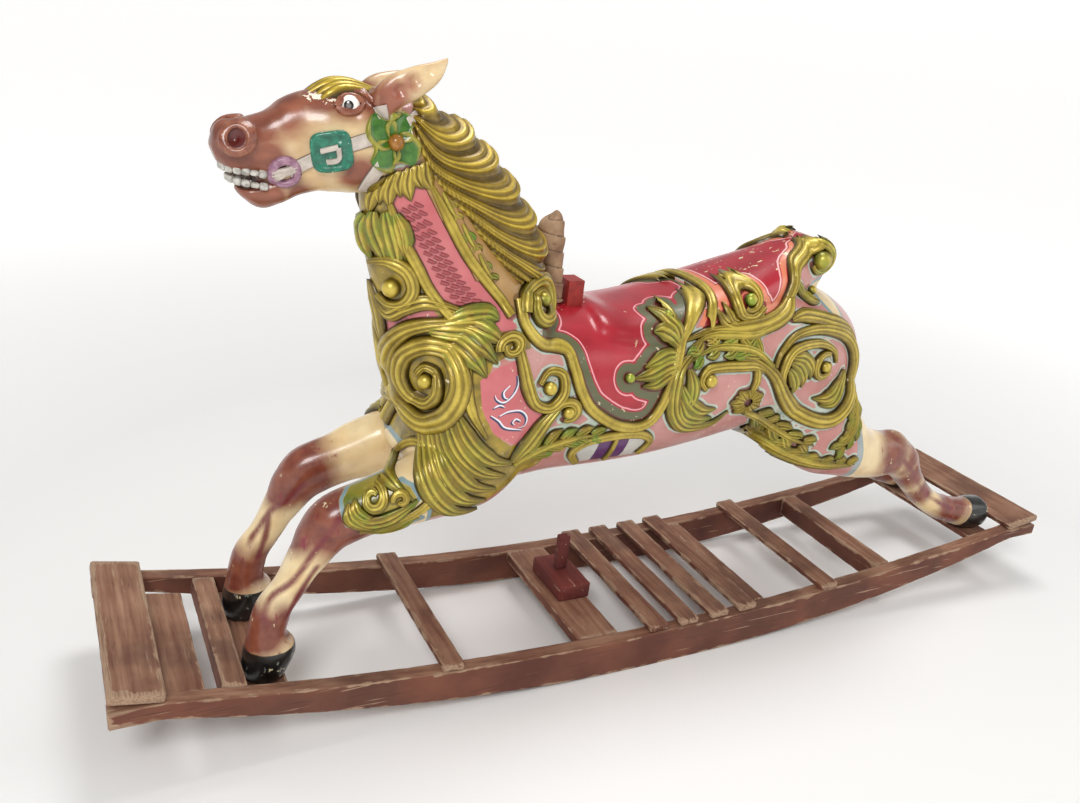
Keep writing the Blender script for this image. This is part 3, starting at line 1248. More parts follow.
# %% Distances for the paint
def near_any(points, spots):
    """The strongest of several soft spots (x, y, z, radius), mirrored to both sides."""
    best = np.zeros(len(points))
    for x, y, z, radius in spots:
        for side in (LEFT, RIGHT):
            best = np.maximum(best, falloff(points, (x, y * side, z), radius))
    return best


def to_outline(points, outline):
    """Distance in millimetres from 2-D points to a closed outline, positive inside."""
    corners = np.asarray(outline, float)
    a, b = corners, np.roll(corners, -1, axis=0)
    inside = np.zeros(len(points), bool)
    nearest = np.full(len(points), 1e9)
    for p, q in zip(a, b):
        way = q - p
        t = np.clip(((points - p) @ way) / (way @ way), 0, 1)
        nearest = np.minimum(nearest, np.linalg.norm(points - p - t[:, None] * way, axis=1))
        crosses = (p[1] > points[:, 1]) != (q[1] > points[:, 1])
        with np.errstate(divide="ignore", invalid="ignore"):
            at = p[0] + (points[:, 1] - p[1]) / (q[1] - p[1]) * way[0]
        inside ^= crosses & (points[:, 0] < at)
    return np.where(inside, nearest, -nearest)


def seen_from(points, heading):
    """[s, z] of 3-D points in millimetres, as the strokes' paths are drawn."""
    x, y, z = points.T / MM
    return np.stack([x * math.cos(heading) + np.abs(y) * math.sin(heading), z], axis=1)


PAINT_REACH = 60.0                 # distances past this are of no use to the paint


def to_carving(points):
    """Distance in millimetres from each point of the skin to the nearest stroke's edge."""
    places = points / MM
    nearest = np.full(len(points), PAINT_REACH)
    for path, half in footprints:
        low, high = path.min(axis=0) - PAINT_REACH, path.max(axis=0) + PAINT_REACH
        close = np.nonzero(((places > low) & (places < high)).all(axis=1))[0]
        if len(close):
            gaps = np.linalg.norm(places[close][:, None] - path[None], axis=2) - half
            nearest[close] = np.minimum(nearest[close], gaps.min(axis=1))
    return nearest


# %% [markdown]
# Each painted field has an outline with only the points that its shape needs. It is drawn
# level, as the strokes are, and the carving hides most of its edges.

# %% Outlines of the painted fields
RED_SEAT = SADDLE_EDGE[2:] + [[24, 716], [24, 900], [-320, 900], [-320, 700]]
PILLION = [[24, 716], [2, 690], [-20, 660], [2, 648]] + CANTLE_STRAP[2:]
PILLION += [[290, 806], [290, 900], [24, 900]]
GOLD_SHOULDER = [
    [-520, 600], [-486, 640], [-400, 716], [-330, 700], [-250, 662], [-240, 640], [-262, 640],
    [-296, 622], [-306, 568], [-286, 514], [-256, 484], [-222, 492], [-190, 470], [-210, 430],
    [-300, 372], [-420, 350], [-520, 440],
]
GOLD_THROAT = [
    [-560, 900], [-456, 900], [-456, 857], [-414, 770], [-364, 694], [-400, 700], [-470, 688],
    [-560, 720],
]
TAN_REIN = [[-440, 940], [-418, 872], [-390, 824], [-332, 742], [-302, 704], [-262, 690], [-262, 800],
            [-380, 940]]
MANE_FIELD = MANE_INNER + [[-280, 730], [-280, 800], [-340, 900], [-430, 990], [-522, 1010]]
CREAM_PATCH = [
    [-446, 436], [-424, 464], [-396, 474], [-366, 458], [-357, 421], [-384, 385], [-430, 360],
    [-480, 350], [-520, 400], [-500, 440],
]
GIRTH_PANEL = [[-236, 420], [-256, 452], [-236, 472], [-180, 478], [-128, 474], [-104, 458], [-112, 420]]
PURPLE_PANEL = [[-208, 500], [-208, 400], [-146, 400], [-146, 500]]
CANTLE_CREAM = [[262, 716], [300, 726], [330, 692], [338, 645], [304, 654], [276, 682]]
LEG_LEAF = [
    [-488, 368], [-502, 400], [-494, 430], [-466, 440], [-442, 434], [-434, 420], [-418, 428],
    [-402, 422], [-390, 404], [-408, 388], [-384, 364], [-440, 346],
]
FORE_CREAM = [[-900, 0], [-490, 0], [-505, 360], [-514, 430], [-540, 480], [-900, 480]]
HIND_CREAM = [[404, 0], [404, 365], [391, 425], [398, 600], [1000, 600], [1000, 0]]


# %% [markdown]
# The legs are cream, with dark red lines down the tendons and a soft brown on every
# joint. The lines follow paths along the leg, and the brown fades out round a few spots.

# %% Legs: tendons and joints
# dark lines down the tendons of each leg, [x, y, z]
TENDONS = [
    [[-652, 126, 378], [-672, 123, 346], [-692, 120, 316], [-720, 115, 270], [-752, 104, 239],
     [-764, 110, 205]],
    [[-684, 120, 290], [-706, 114, 250], [-716, 112, 228], [-726, 110, 204]],
    [[-664, 57, 345], [-690, 62, 318], [-716, 70, 294], [-744, 74, 250], [-756, 78, 210]],
    [[-719, 70, 291], [-725, 66, 250], [-738, 64, 210]],
    [[560, 138, 340], [610, 132, 300], [660, 128, 250], [716, 124, 216], [768, 128, 190]],
]


def to_paths(points, paths):
    """Distance in millimetres to the nearest of some paths, the same on both sides."""
    places = np.abs(points / MM * [0, 1, 0]) + points / MM * [1, 0, 1]
    nearest = np.full(len(points), PAINT_REACH)
    for path in paths:
        for place in curve_at(path, np.linspace(0, 1, 40)):
            nearest = np.minimum(nearest, np.linalg.norm(places - place, axis=1))
    return nearest


# soft brown shading on the joints of the legs, [x, y, z, reach]
BROWN_JOINTS = [
    [-650, 92, 356, 70], [-690, 80, 340, 50], [-766, 90, 176, 56], [-730, 90, 190, 48],
    [-700, 96, 236, 26], [530, 97, 345, 66], [620, 97, 300, 54], [670, 97, 246, 44],
    [780, 101, 190, 60], [820, 101, 170, 40], [590, 97, 330, 54],
]
LEG_SIDE = 84                      # the leaf is only on the near leg's outer side, past this Y
FORE_HOOF_TOP = 144
HIND_HOOF = (826, 160, 0.45)       # x and z of a point on its coronet, and its slope


def paint_zones(piece):
    points = points_of(piece)
    beam, bow = seen_from(points, BEAM), seen_from(points, BOW)
    x, _, z = points.T / MM
    corner_x, corner_z, slope = HIND_HOOF
    hind_hoof = np.where(points[:, 0] > 0.8, (x - corner_x) - slope * (z - corner_z), -99)
    girth = to_outline(beam, GIRTH_PANEL)
    zones = {
        "to_carving": to_carving(points),
        "gold_field": np.maximum.reduce([to_outline(bow, GOLD_SHOULDER), to_outline(bow, GOLD_THROAT),
                                         to_outline(beam, MANE_FIELD)]),
        "pink_panel": np.maximum.reduce([to_outline(bow, p) for p in (BANNER, CARTOUCHE, PINK_PANEL)]),
        "cream": np.maximum.reduce([to_outline(beam, FORE_CREAM), to_outline(beam, HIND_CREAM),
                                    to_outline(bow, CREAM_PATCH), to_outline(beam, CANTLE_CREAM)]),
        "leg_leaf": np.minimum(to_outline(bow, LEG_LEAF), LEFT * points[:, 1] / MM - LEG_SIDE),
        "tendon": to_paths(points, TENDONS),
        "hind_band": to_outline(beam, HIND_CREAM),
        "tan": to_outline(bow, TAN_REIN),
        "seat": to_outline(beam, RED_SEAT),
        "pillion": to_outline(beam, PILLION),
        "girth": girth,
        "purple": np.minimum(girth, to_outline(beam, PURPLE_PANEL)),
        "hoof": np.maximum(FORE_HOOF_TOP - z - 1000 * (points[:, 0] > 0), hind_hoof),
    }
    for name, millimetres in zones.items():
        attribute(piece, name, millimetres * MM)
    attribute(piece, "brown", near_any(points, [(*spot, 1.3 * reach) for *spot, reach in BROWN_JOINTS]))


paint_zones(body)
print("strokes on the skin:", len(footprints))

# %% [markdown]
# ## Finishes
# A material is built up as the real finish was: a ground, then each later coat where its
# mask lets it show. Sizes of patterns are in millimetres.

# %% Layers of paint
class Finish:
    """A material that is built up in layers, as paint is."""

    def __init__(self, name, roughness=0.45, coat=0.0):
        self.material = bpy.data.materials.new(name)
        self.material.use_nodes = True
        self.tree = self.material.node_tree
        self.tree.nodes.clear()
        self.shader = add(self.tree, "ShaderNodeBsdfPrincipled",
                          {"Roughness": roughness, "Coat Weight": coat, "Coat Roughness": 0.15})
        add(self.tree, "ShaderNodeOutputMaterial", {"Surface": self.shader.outputs[0]})
        self.place = add(self.tree, "ShaderNodeTexCoord").outputs["Object"]
        self.color = None

    def noise(self, size_mm, detail=3.0, stretch=(1, 1, 1)):
        """Cloudy noise, 0 to 1, whose blotches are about size_mm across."""
        mapped = add(self.tree, "ShaderNodeMapping", {"Vector": self.place, "Scale": stretch})
        return add(self.tree, "ShaderNodeTexNoise",
                   {"Vector": mapped.outputs[0], "Scale": 1000 / size_mm, "Detail": detail}).outputs[0]

    def value(self, name):
        return add(self.tree, "ShaderNodeAttribute", attribute_name=name).outputs["Fac"]

    def math(self, operation, *values):
        links = dict(enumerate(values))
        return add(self.tree, "ShaderNodeMath", links, operation=operation).outputs[0]

    def between(self, value, low, high):
        """0 below low and 1 above high."""
        links = {"Value": value, "From Min": low, "From Max": high}
        return add(self.tree, "ShaderNodeMapRange", links).outputs[0]

    def ramp(self, value, stops):
        return add(self.tree, "ShaderNodeValToRGB", {"Fac": value}, stops).outputs[0]

    def over(self, mask, color):
        """A coat of colour where the mask is 1."""
        color = rgb(color) if isinstance(color, str) else color
        if self.color is None:
            self.color = color
            return
        mix = add(self.tree, "ShaderNodeMix", {0: mask, 6: self.color, 7: color}, data_type="RGBA")
        self.color = mix.outputs[2]

    def bump(self, height, distance_mm, strength=1.0):
        node = add(self.tree, "ShaderNodeBump",
                   {"Height": height, "Distance": distance_mm * MM, "Strength": strength})
        self.tree.links.new(node.outputs[0], self.shader.inputs["Normal"])

    def finish(self, *pieces):
        if isinstance(self.color, bpy.types.NodeSocket):
            self.tree.links.new(self.color, self.shader.inputs["Base Color"])
        else:
            self.shader.inputs["Base Color"].default_value = self.color
        for piece in pieces:
            piece.data.materials.clear()
            piece.data.materials.append(self.material)
        print("finish:", self.material.name)
        return self.material


# %% [markdown]
# **Gold paint.** Bronze powder in varnish, over which dirt and old varnish have gone olive
# and brown in the cuts. The ridges are rubbed bright. Some leaves have a green glaze.

# %% Gold paint
def gold_paint(name, light, mid, shade, dark):
    gold = Finish(name, roughness=0.36, coat=0.3)
    ridge = gold.value("ridge")
    cloud = gold.noise(38)
    fine = gold.noise(7, 4)
    level = gold.math("ADD", ridge, gold.math("MULTIPLY", gold.math("SUBTRACT", cloud, 0.5), 0.55))
    level = gold.math("ADD", level, gold.math("MULTIPLY", gold.math("SUBTRACT", fine, 0.5), 0.25))
    gold.over(None, gold.ramp(level, [(0.02, dark), (0.34, shade), (0.74, mid), (1.0, light)]))
    green = gold.math("MULTIPLY", gold.value("green"), gold.between(gold.noise(24), 0.38, 0.62))
    gold.over(gold.math("MULTIPLY", green, 0.75), gold.ramp(level, [(0.1, "#1F3A0C"), (0.9, "#6F9A2A")]))
    gold.bump(gold.math("ADD", fine, gold.noise(2.2)), 0.5, 0.5)
    gold.shader.inputs["Metallic"].default_value = 0.4
    return gold


gold_paint("gold paint on carving", "#C8B048", "#968026", "#5E4B12", "#281E08").finish(gilding)
gold_paint("gold paint on hair", "#C6AA38", "#967B1B", "#604A0D", "#281C06").finish(mane_hair)

# %% [markdown]
# **Body paint.** Many coats of glossy oil paint on pine: a pink ground, pale lines beside
# the carving, a red seat with a lined border, and cream legs shaded brown at the joints.

# %% Body paint
SOFT = 0.0006                      # how soft a painted edge is
paint = Finish("oil paint on carved pine", roughness=0.3, coat=0.35)
wobble = paint.math("MULTIPLY", paint.math("SUBTRACT", paint.noise(18), 0.5), 0.003)


def distance(name):
    return paint.math("ADD", paint.value(name), wobble)


def line(value, low_mm, high_mm):
    """1 where a distance lies between two values."""
    low = paint.between(value, low_mm * MM - SOFT, low_mm * MM + SOFT)
    high = paint.between(value, high_mm * MM + SOFT, high_mm * MM - SOFT)
    return paint.math("MULTIPLY", low, high)


near = distance("to_carving")
cloud = paint.noise(60)
paint.over(None, paint.ramp(cloud, [(0.3, "#B5746C"), (0.7, "#C59089")]))
paint.over(line(near, 0.5, 4.5), paint.ramp(paint.noise(30), [(0.3, "#A9B9A4"), (0.7, "#C3CFC0")]))
gold_ground = paint.ramp(paint.noise(26), [(0.3, "#6B5A14"), (0.7, "#B0942A")])
paint.over(paint.between(distance("gold_field"), -SOFT, SOFT), gold_ground)
paint.over(paint.between(distance("tan"), -SOFT, SOFT),
           paint.ramp(cloud, [(0.3, "#9A7440"), (0.7, "#B8915A")]))
paint.over(paint.between(distance("pink_panel"), -SOFT, SOFT),
           paint.ramp(cloud, [(0.3, "#BC5C60"), (0.7, "#CC7476")]))
cream_edge = distance("cream")
paint.over(paint.between(cream_edge, -SOFT, SOFT), paint.ramp(cloud, [(0.3, "#DDBE8A"), (0.7, "#EBD6A8")]))
paint.over(line(cream_edge, -1, 6), "#7F979A")
leg_leaf = distance("leg_leaf")
paint.over(line(leg_leaf, -6, 0), "#7F979A")
paint.over(paint.between(leg_leaf, -SOFT, SOFT), paint.ramp(cloud, [(0.35, "#5E6A16"), (0.65, "#A8922A")]))
paint.over(line(distance("hind_band"), -1, 16), paint.ramp(cloud, [(0.3, "#7C878A"), (0.7, "#A3ABA9")]))
brown = paint.math("ADD", paint.value("brown"),
                   paint.math("MULTIPLY", paint.math("SUBTRACT", paint.noise(40), 0.5), 0.35))
on_legs = paint.between(cream_edge, 0.004, 0.008)
on_legs = paint.math("MULTIPLY", on_legs, paint.between(leg_leaf, -0.005, -0.007))
paint.over(paint.math("MULTIPLY", paint.between(brown, 0.0, 0.5), on_legs),
           paint.ramp(paint.noise(22), [(0.3, "#6A2E20"), (0.7, "#8A4C36")]))
tendon = paint.math("MULTIPLY", paint.between(distance("tendon"), 0.0085, 0.0025), 0.9)
paint.over(paint.math("MULTIPLY", tendon, on_legs), "#6E1C26")
streaks = paint.noise(10, 3, (1, 1, 0.22))
paint.over(paint.math("MULTIPLY", paint.math("MULTIPLY", paint.between(streaks, 0.62, 0.70),
                                             paint.between(brown, 0.0, 0.3)), on_legs), "#7E2130")
paint.over(paint.between(distance("girth"), -SOFT, SOFT),
           paint.ramp(cloud, [(0.3, "#B9B7B0"), (0.7, "#D5D2CA")]))
paint.over(paint.between(distance("purple"), -SOFT, SOFT),
           paint.ramp(cloud, [(0.3, "#43184E"), (0.7, "#5D2A68")]))
# %% [markdown]
# The seat and the pillion behind it are red. An olive band and a pink line run beside the
# carving, so both are cut from the distance to it.

# %% Seat and pillion
# the seat: red, then an olive band and a pink line that follow the carving beside it
seat = paint.between(distance("seat"), -SOFT, SOFT)
red = paint.ramp(cloud, [(0.3, "#93101F"), (0.7, "#AE1E2E")])
paint.over(seat, red)
paint.over(paint.math("MULTIPLY", seat, line(near, 3, 17)), "#5B5B3C")
paint.over(paint.math("MULTIPLY", seat, line(near, 20, 22.5)), "#E59BA2")
paint.over(paint.math("MULTIPLY", seat, line(near, -6, 3)), "#5F2A1C")
pillion = paint.between(distance("pillion"), -SOFT, SOFT)
paint.over(pillion, red)
paint.over(paint.math("MULTIPLY", pillion, line(near, 2, 13)), "#DB7D5C")
paint.over(paint.math("MULTIPLY", pillion, line(near, 15, 18)), "#EDB3B0")
# %% [markdown]
# The hooves are black. Knocks have chipped the paint down to pale gesso, most of all on
# top of the pillion, and dirt has gathered beside the carving.

# %% Hooves, chips and dirt
# hooves, and chips down to the pale gesso
hoof = paint.between(distance("hoof"), -SOFT, SOFT)
paint.over(hoof, paint.ramp(paint.noise(12), [(0.35, "#0E0D0C"), (0.65, "#1F1E1C")]))
chips = paint.between(paint.noise(9, 5), 0.665, 0.68)
bare_spots = paint.math("MULTIPLY", chips, paint.between(paint.noise(70), 0.5, 0.56))
worn_top = paint.between(paint.noise(20, 4, (1, 1.8, 1)), 0.66, 0.67)
bare_spots = paint.math("MAXIMUM", bare_spots, paint.math("MULTIPLY", worn_top, pillion))
paint.over(bare_spots, "#D9C9A2")
paint.over(paint.math("MULTIPLY", paint.between(paint.noise(16, 4), 0.64, 0.68), hoof), "#6E746E")
dirt = paint.math("MULTIPLY", line(near, -8, 1), 0.45)
paint.over(dirt, "#3A2A10")
paint.bump(paint.math("ADD", paint.noise(5, 3), paint.math("MULTIPLY", cloud, 3)), 0.5, 0.35)
paint.finish(body)

# %% [markdown]
# **Head paint.** Cream, shaded to brown over the muzzle, the nose and round the eyes with
# a soft brush, so here the mask is a soft one. Old chips show white gesso.

# %% Head paint
head_points = points_of(head)
attribute(head, "brown", near_any(head_points, [
    (-800, 10, 930, 78), (-765, 20, 955, 70), (-790, 34, 915, 60), (-745, 0, 848, 52),
    (-640, 45, 1000, 52), (-720, 12, 975, 66), (-668, 25, 1000, 66), (-600, 30, 995, 50),
    (-620, 50, 895, 40), (-700, 20, 862, 34), (-580, 56, 1000, 34),
    (-768, 12, 862, 52), (-740, 24, 850, 44), (-776, 30, 908, 56), (-745, 36, 905, 44)]))
attribute(head, "dark_red", near_any(head_points, [(-787, 36, 933, 19), (-768, 0, 882, 24)]))
attribute(head, "ear_pink", near_any(head_points, [(-570, 62, 1010, 34), (-556, 66, 1022, 26)]))
attribute(head, "chips", near_any(head_points, [(-662, 40, 1000, 30), (-680, 24, 996, 26),
                                                (-650, 42, 1012, 20)]))
face = Finish("brown and cream oil paint", roughness=0.3, coat=0.35)
cloud = face.noise(45)
face.over(None, face.ramp(cloud, [(0.3, "#D2AE7C"), (0.7, "#E6CFA2")]))
brushed = face.noise(30, 4, (0.5, 1, 1))
shade = face.math("ADD", face.value("brown"),
                  face.math("MULTIPLY", face.math("SUBTRACT", brushed, 0.5), 0.9))
face.over(face.between(shade, -0.12, 0.66), face.ramp(brushed, [(0.3, "#653021"), (0.7, "#94563D")]))
face.over(face.between(face.value("ear_pink"), 0.0, 1.1), "#9C5C46")
face.over(face.between(face.value("dark_red"), 0.12, 0.3), "#5A1A14")
flakes = face.math("ADD", face.math("MULTIPLY", face.noise(5, 4), 0.7),
                   face.math("MULTIPLY", face.value("chips"), 0.3))
face.over(face.between(flakes, 0.58, 0.595), "#EFE3CE")
face.bump(face.math("ADD", face.noise(4, 3), face.math("MULTIPLY", cloud, 2)), 0.5, 0.35)
face.finish(head)
lid = Finish("brown oil paint on lids", roughness=0.3, coat=0.3)
lid.over(None, lid.ramp(lid.noise(12), [(0.3, "#6E3626"), (0.7, "#9C6248")]))
lid.finish(eyelids)

# %% [markdown]
# **Small finishes.** Grey-white strap paint, green and purple enamel paint, ivory teeth,
# and an eye whose rings are cut from the angle off its line of sight.

# %% Straps, fittings, eyes and teeth
strap_paint = Finish("grey white strap paint", roughness=0.45)
strap_paint.over(None, strap_paint.ramp(strap_paint.noise(16, 4), [(0.3, "#A79A90"), (0.7, "#CFC4B8")]))
strap_paint.over(strap_paint.between(strap_paint.value("ridge"), 0.7, 0.2), "#5E5048")
strap_paint.bump(strap_paint.noise(3), 0.4, 0.4)
strap_paint.finish(bridle, buckle_tongues)

purple = Finish("purple paint on ring", roughness=0.35, coat=0.2)
purple.over(None, purple.ramp(purple.noise(9, 4), [(0.35, "#7D5468"), (0.65, "#A98295")]))
purple.finish(bit_rings)

green = Finish("green buckle paint", roughness=0.25, coat=0.4)
green.over(None, green.ramp(green.noise(10, 4), [(0.3, "#0B5340"), (0.7, "#1A7F62")]))
green.over(green.between(green.noise(5, 5), 0.64, 0.66), "#A9C3B4")
green.bump(green.noise(4), 0.4, 0.4)
green.finish(buckle_plates)

leafy = Finish("green and gold petal paint", roughness=0.3, coat=0.3)
leafy.over(None, leafy.ramp(leafy.noise(14, 4), [(0.3, "#1D5214"), (0.7, "#4C7F22")]))
rim_gold = leafy.ramp(leafy.noise(10), [(0.3, "#77721E"), (0.7, "#A39A34")])
leafy.over(leafy.between(leafy.value("ridge"), 0.42, 1.0), rim_gold)
leafy.over(leafy.value("tone"), leafy.ramp(leafy.noise(8), [(0.3, "#7A4A12"), (0.7, "#A87024")]))
leafy.finish(rosettes)

# %% [markdown]
# The eye is painted glass: a black pupil, a grey iris and a white, whose rings are cut
# from the angle off its line of sight. The teeth are plain worn white.

# %% Eyes and teeth
glass_eye = Finish("painted glass eye", roughness=0.08, coat=0.6)
glass_eye.over(None, "#0A0A0A")
angle = glass_eye.value("ridge")
glass_eye.over(glass_eye.between(angle, 0.24, 0.22), "#6E6A68")
glass_eye.over(glass_eye.between(angle, 0.44, 0.47), "#EDE9E2")
glass_eye.finish(eyeballs)

ivory = Finish("white paint on teeth", roughness=0.35, coat=0.2)
ivory.over(None, ivory.ramp(ivory.noise(6, 4), [(0.3, "#8E8A82"), (0.7, "#CFCBC2")]))
ivory.finish(upper_teeth, lower_teeth)

rein_paint = Finish("tan paint on rein", roughness=0.4, coat=0.2)
rein_paint.over(None, rein_paint.ramp(rein_paint.noise(30), [(0.3, "#8E6A36"), (0.7, "#B58C55")]))
rein_paint.over(rein_paint.between(rein_paint.value("ridge"), 0.7, 0.2), "#4A3414")
rein_paint.bump(rein_paint.noise(4), 0.4, 0.4)
rein_paint.finish(rein_band)

mark_paint = Finish("rose paint on gouged marks", roughness=0.4, coat=0.2)
mark_paint.over(None, mark_paint.ramp(mark_paint.value("ridge"), [(0.3, "#54161A"), (0.9, "#A34A4E")]))
mark_paint.finish(banner_marks)

brushed_line = Finish("blue and white brush lines", roughness=0.35, coat=0.2)
brushed_line.over(None, "#2B3A5E")
brushed_line.over(brushed_line.value("tone"), "#E9E6EC")
brushed_line.finish(painted_flourish)

# %% [markdown]
# **Cloth tape.** Tan cotton tape, 25 mm wide and grubby. The weave is finer than shows,
# so it is drawn at 1.5 mm.

# %% Tape
cloth = Finish("grubby cotton tape", roughness=0.9)
cloth.over(None, cloth.ramp(cloth.noise(25, 5), [(0.3, "#7C5E47"), (0.7, "#AD8E6F")]))
cloth.over(cloth.between(cloth.noise(14, 5), 0.6, 0.75), "#6A4A36")
cloth.over(cloth.math("MULTIPLY", cloth.between(cloth.value("ridge"), 0.16, 0.0), 0.85), "#3A2418")
cloth.bump(cloth.math("ADD", cloth.noise(1.5, 1), cloth.noise(8)), 0.4, 0.6)
cloth.finish(taped_post)


# %% [markdown]
# **Rocker paint.** Red-brown paint that has been walked and rocked on. Dust lies on what
# faces up, and the arrises and a few scuffs are down to bare pine, whose grain runs
# along each bar. Growth rings are about 3 mm apart.

# %% Paint on timber
def timber_paint(name, grain, dusty, sides, bare, wear=0.0):
    wood = Finish(name, roughness=0.75)
    streak = wood.noise(9, 5, grain)
    fine = wood.noise(3, 3, grain)
    cloud = wood.noise(110, 3)
    facing = add(wood.tree, "ShaderNodeSeparateXYZ", {
        0: add(wood.tree, "ShaderNodeNewGeometry").outputs["Normal"]}).outputs["Z"]
    wood.over(None, wood.ramp(cloud, [(0.3, sides[0]), (0.7, sides[1])]))
    wood.over(wood.math("MULTIPLY", wood.between(facing, 0.3, 0.9), wood.between(streak, 0.2, 0.75)),
              wood.ramp(cloud, [(0.3, dusty[0]), (0.7, dusty[1])]))
    wood.over(wood.math("MULTIPLY", wood.between(wood.noise(150, 4), 0.5, 0.64), 0.55), "#4A2C22")
    level = wood.math("ADD", wood.math("MULTIPLY", wood.value("ridge"), 0.30),
                      wood.math("ADD", wood.math("MULTIPLY", streak, 0.45),
                                wood.math("MULTIPLY", wood.noise(32, 5), 0.55)))
    worn = wood.between(level, 0.73 - wear, 0.79 - wear)
    wood.over(worn, wood.ramp(fine, [(0.3, bare[0]), (0.7, bare[1])]))
    scrape = wood.math("MULTIPLY", wood.between(wood.noise(5, 5, grain), 0.66, 0.70), 0.6)
    wood.over(scrape, bare[1])
    wood.over(wood.math("MULTIPLY", wood.between(fine, 0.62, 0.7), 0.5), "#3A1E18")
    wood.bump(wood.math("ADD", fine, wood.math("MULTIPLY", streak, 0.7)), 0.8, 0.6)
    return wood


ALONG_X, ALONG_Y = (0.04, 1, 1), (1, 0.06, 1)
DUSTY, SIDES, BARE = ("#875C45", "#B08A6E"), ("#572C1F", "#784733"), ("#80604A", "#B3957A")
rail_paint = timber_paint("red brown paint on pine rails", ALONG_X, DUSTY, SIDES, BARE)
board_paint = timber_paint("red brown paint on pine boards", ALONG_Y, DUSTY, SIDES, BARE, 0.02)
worn_paint = timber_paint("worn pine end board", ALONG_Y, DUSTY, SIDES, BARE, 0.12)
dark_paint = timber_paint("dark red paint on pine block", ALONG_Y, ("#6E2C24", "#83382E"),
                          ("#4E1C18", "#6A2820"), BARE, -0.3)
rail_paint.finish(*rails.values())
board_paint.finish(*boards.values())
worn_paint.finish(boards["front_end_board"])
dark_paint.finish(boards["step_block"], boards["step_stub"])
wedge_paint = Finish("dark red paint on wedge", roughness=0.5)
wedge_paint.over(None, wedge_paint.ramp(wedge_paint.noise(12), [(0.3, "#7E1E18"), (0.7, "#A02C24")]))
wedge_paint.finish(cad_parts["handle_foot"])

# %% [markdown]
# ## Studio
# A pale floor that curves up all round like a bowl, so that no edge of it shows behind
# the horse. It glows a little towards its rim, as a backdrop with lamps of its own does.

# %% Floor and backdrop
low, high = CAD_BOX
print("the object measures", [round(b - a, 3) for a, b in zip(low, high)], "m")
FLAT_REACH, RIM_REACH, RIM_HEIGHT = 3.5, 9.0, 2.6
COVE_SIDES = 96
rings = [[0.02, 0]] + [[FLAT_REACH * k / 4, 0] for k in range(1, 5)]
rings += [[FLAT_REACH + (RIM_REACH - FLAT_REACH) * math.sin(a), RIM_HEIGHT * (1 - math.cos(a))]
          for a in np.linspace(0.1, math.pi / 2, 16)]
around = np.linspace(0, 2 * np.pi, COVE_SIDES, endpoint=False)
cove = [np.stack([r * np.cos(around), r * np.sin(around), np.full(COVE_SIDES, low[2] + h)], axis=1)
        for r, h in rings]
points, faces = skin_of_rings(cove)
floor = new_mesh("floor", points, [face[::-1] for face in faces[:-1]])
ground = Finish("pale floor", roughness=0.7)
ground.over(None, "#F4F3F1")
reach = add(ground.tree, "ShaderNodeVectorMath", {0: ground.place}, operation="LENGTH").outputs["Value"]
backdrop = ground.between(reach, 1.4, 3.6)
ground.shader.inputs["Emission Color"].default_value = rgb("#FFFFFF")
ground.tree.links.new(ground.math("MULTIPLY", backdrop, 0.5), ground.shader.inputs["Emission Strength"])
ground.finish(floor)

# %% [markdown]
# One broad soft light stands above and before the horse, with a weaker fill at its other
# side and a third overhead, so that the gold has long soft highlights and the hollows
# stay dark.

# %% Lights
world = bpy.data.worlds.new("studio")
bpy.context.scene.world = world
world.use_nodes = True
world.node_tree.nodes["Background"].inputs["Color"].default_value = rgb("#FFFFFF")
world.node_tree.nodes["Background"].inputs["Strength"].default_value = 0.38


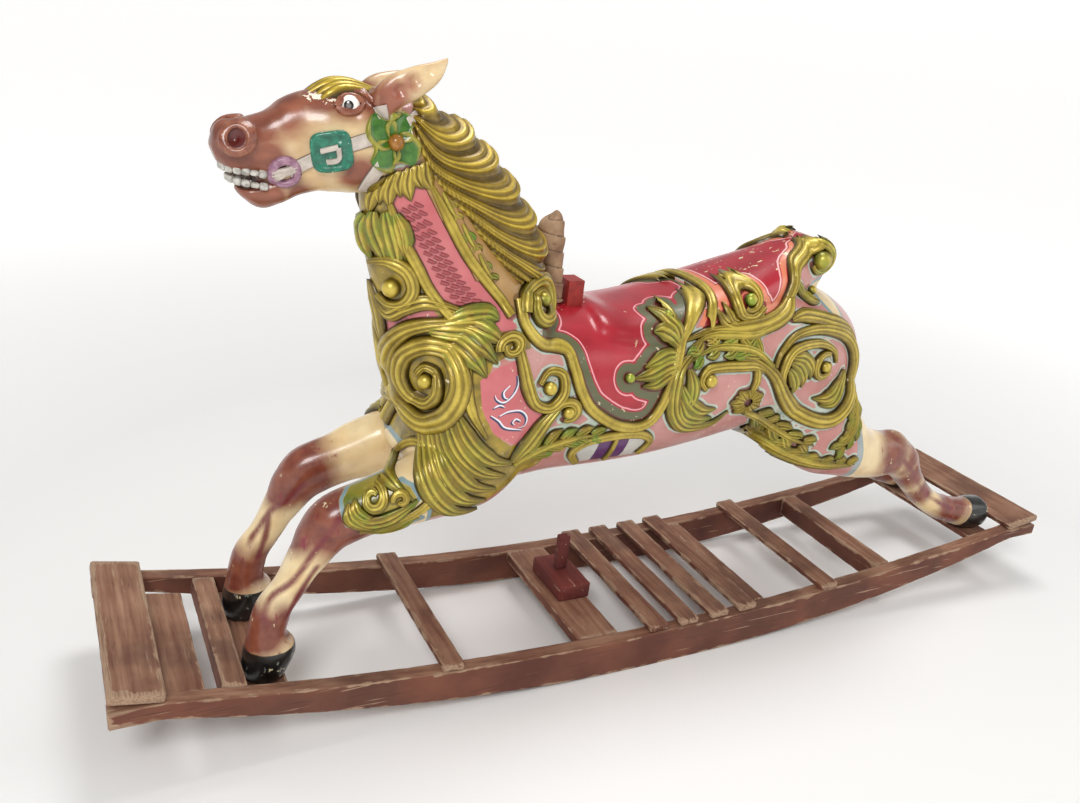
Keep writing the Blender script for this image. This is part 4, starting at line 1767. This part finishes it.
def area_light(name, place, aim, size, power):
    data = bpy.data.lights.new(name, "AREA")
    data.size = size
    data.energy = power
    lamp = bpy.data.objects.new(name, data)
    lamp.location = place
    lamp.rotation_euler = (Vector(aim) - Vector(place)).to_track_quat("-Z", "Y").to_euler()
    bpy.context.scene.collection.objects.link(lamp)
    print("lamp:", name, power, "W")


area_light("key", (-2.2, -2.6, 3.2), (0, 0, 0.5), 1.3, 92)
area_light("fill", (2.6, -1.8, 2.2), (0, 0, 0.4), 2.0, 20)
area_light("top", (0.2, 0.6, 3.4), (0, 0, 0.4), 1.2, 40)

# %% [markdown]
# The camera looks down on the near side from before the shoulder. It is rolled a little,
# so that the rocker climbs to the right.

# %% Camera
AZIMUTH, ELEVATION, ROLL = (math.radians(d) for d in (-28.87, 22.0, 6.68))
back = Vector((math.sin(AZIMUTH) * math.cos(ELEVATION), -math.cos(AZIMUTH) * math.cos(ELEVATION),
               math.sin(ELEVATION)))
side_way = (-back).cross(Vector((0, 0, 1))).normalized()
up_way = side_way.cross(-back)
right = side_way * math.cos(ROLL) + up_way * math.sin(ROLL)
up = up_way * math.cos(ROLL) - side_way * math.sin(ROLL)
camera_data = bpy.data.cameras.new("camera")
camera_data.sensor_width = 36
camera_data.lens = camera_data.sensor_width * 968 / 1080
camera = bpy.data.objects.new("camera", camera_data)
bpy.context.scene.collection.objects.link(camera)
CAMERA_PLACE = (-1.033, -1.411, 1.1395)
camera.matrix_world = Matrix([(*axes, place) for *axes, place in zip(right, up, back, CAMERA_PLACE)]
                             + [(0, 0, 0, 1)])
bpy.context.scene.camera = camera
bpy.context.scene.view_settings.view_transform = "Standard"
print("lens:", round(camera_data.lens, 1), "mm")

# %% [markdown]
# ## Onto the frame
# The horse has no moving parts, so every piece rides on the one body of the frame.

# %% Ride, replace and finish
HORSE_PIECES = [body, head, gilding, mane_hair, bridle, bit_rings, buckle_plates, buckle_tongues,
                rosettes, eyeballs, eyelids, upper_teeth, lower_teeth, rein_band, banner_marks,
                painted_flourish]
for piece in HORSE_PIECES:
    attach(piece, "root")
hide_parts("carved_horse")
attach(taped_post, "root")
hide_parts("handle_post")
for node, piece in {**boards, **rails}.items():
    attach(piece, "root")
    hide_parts(node)
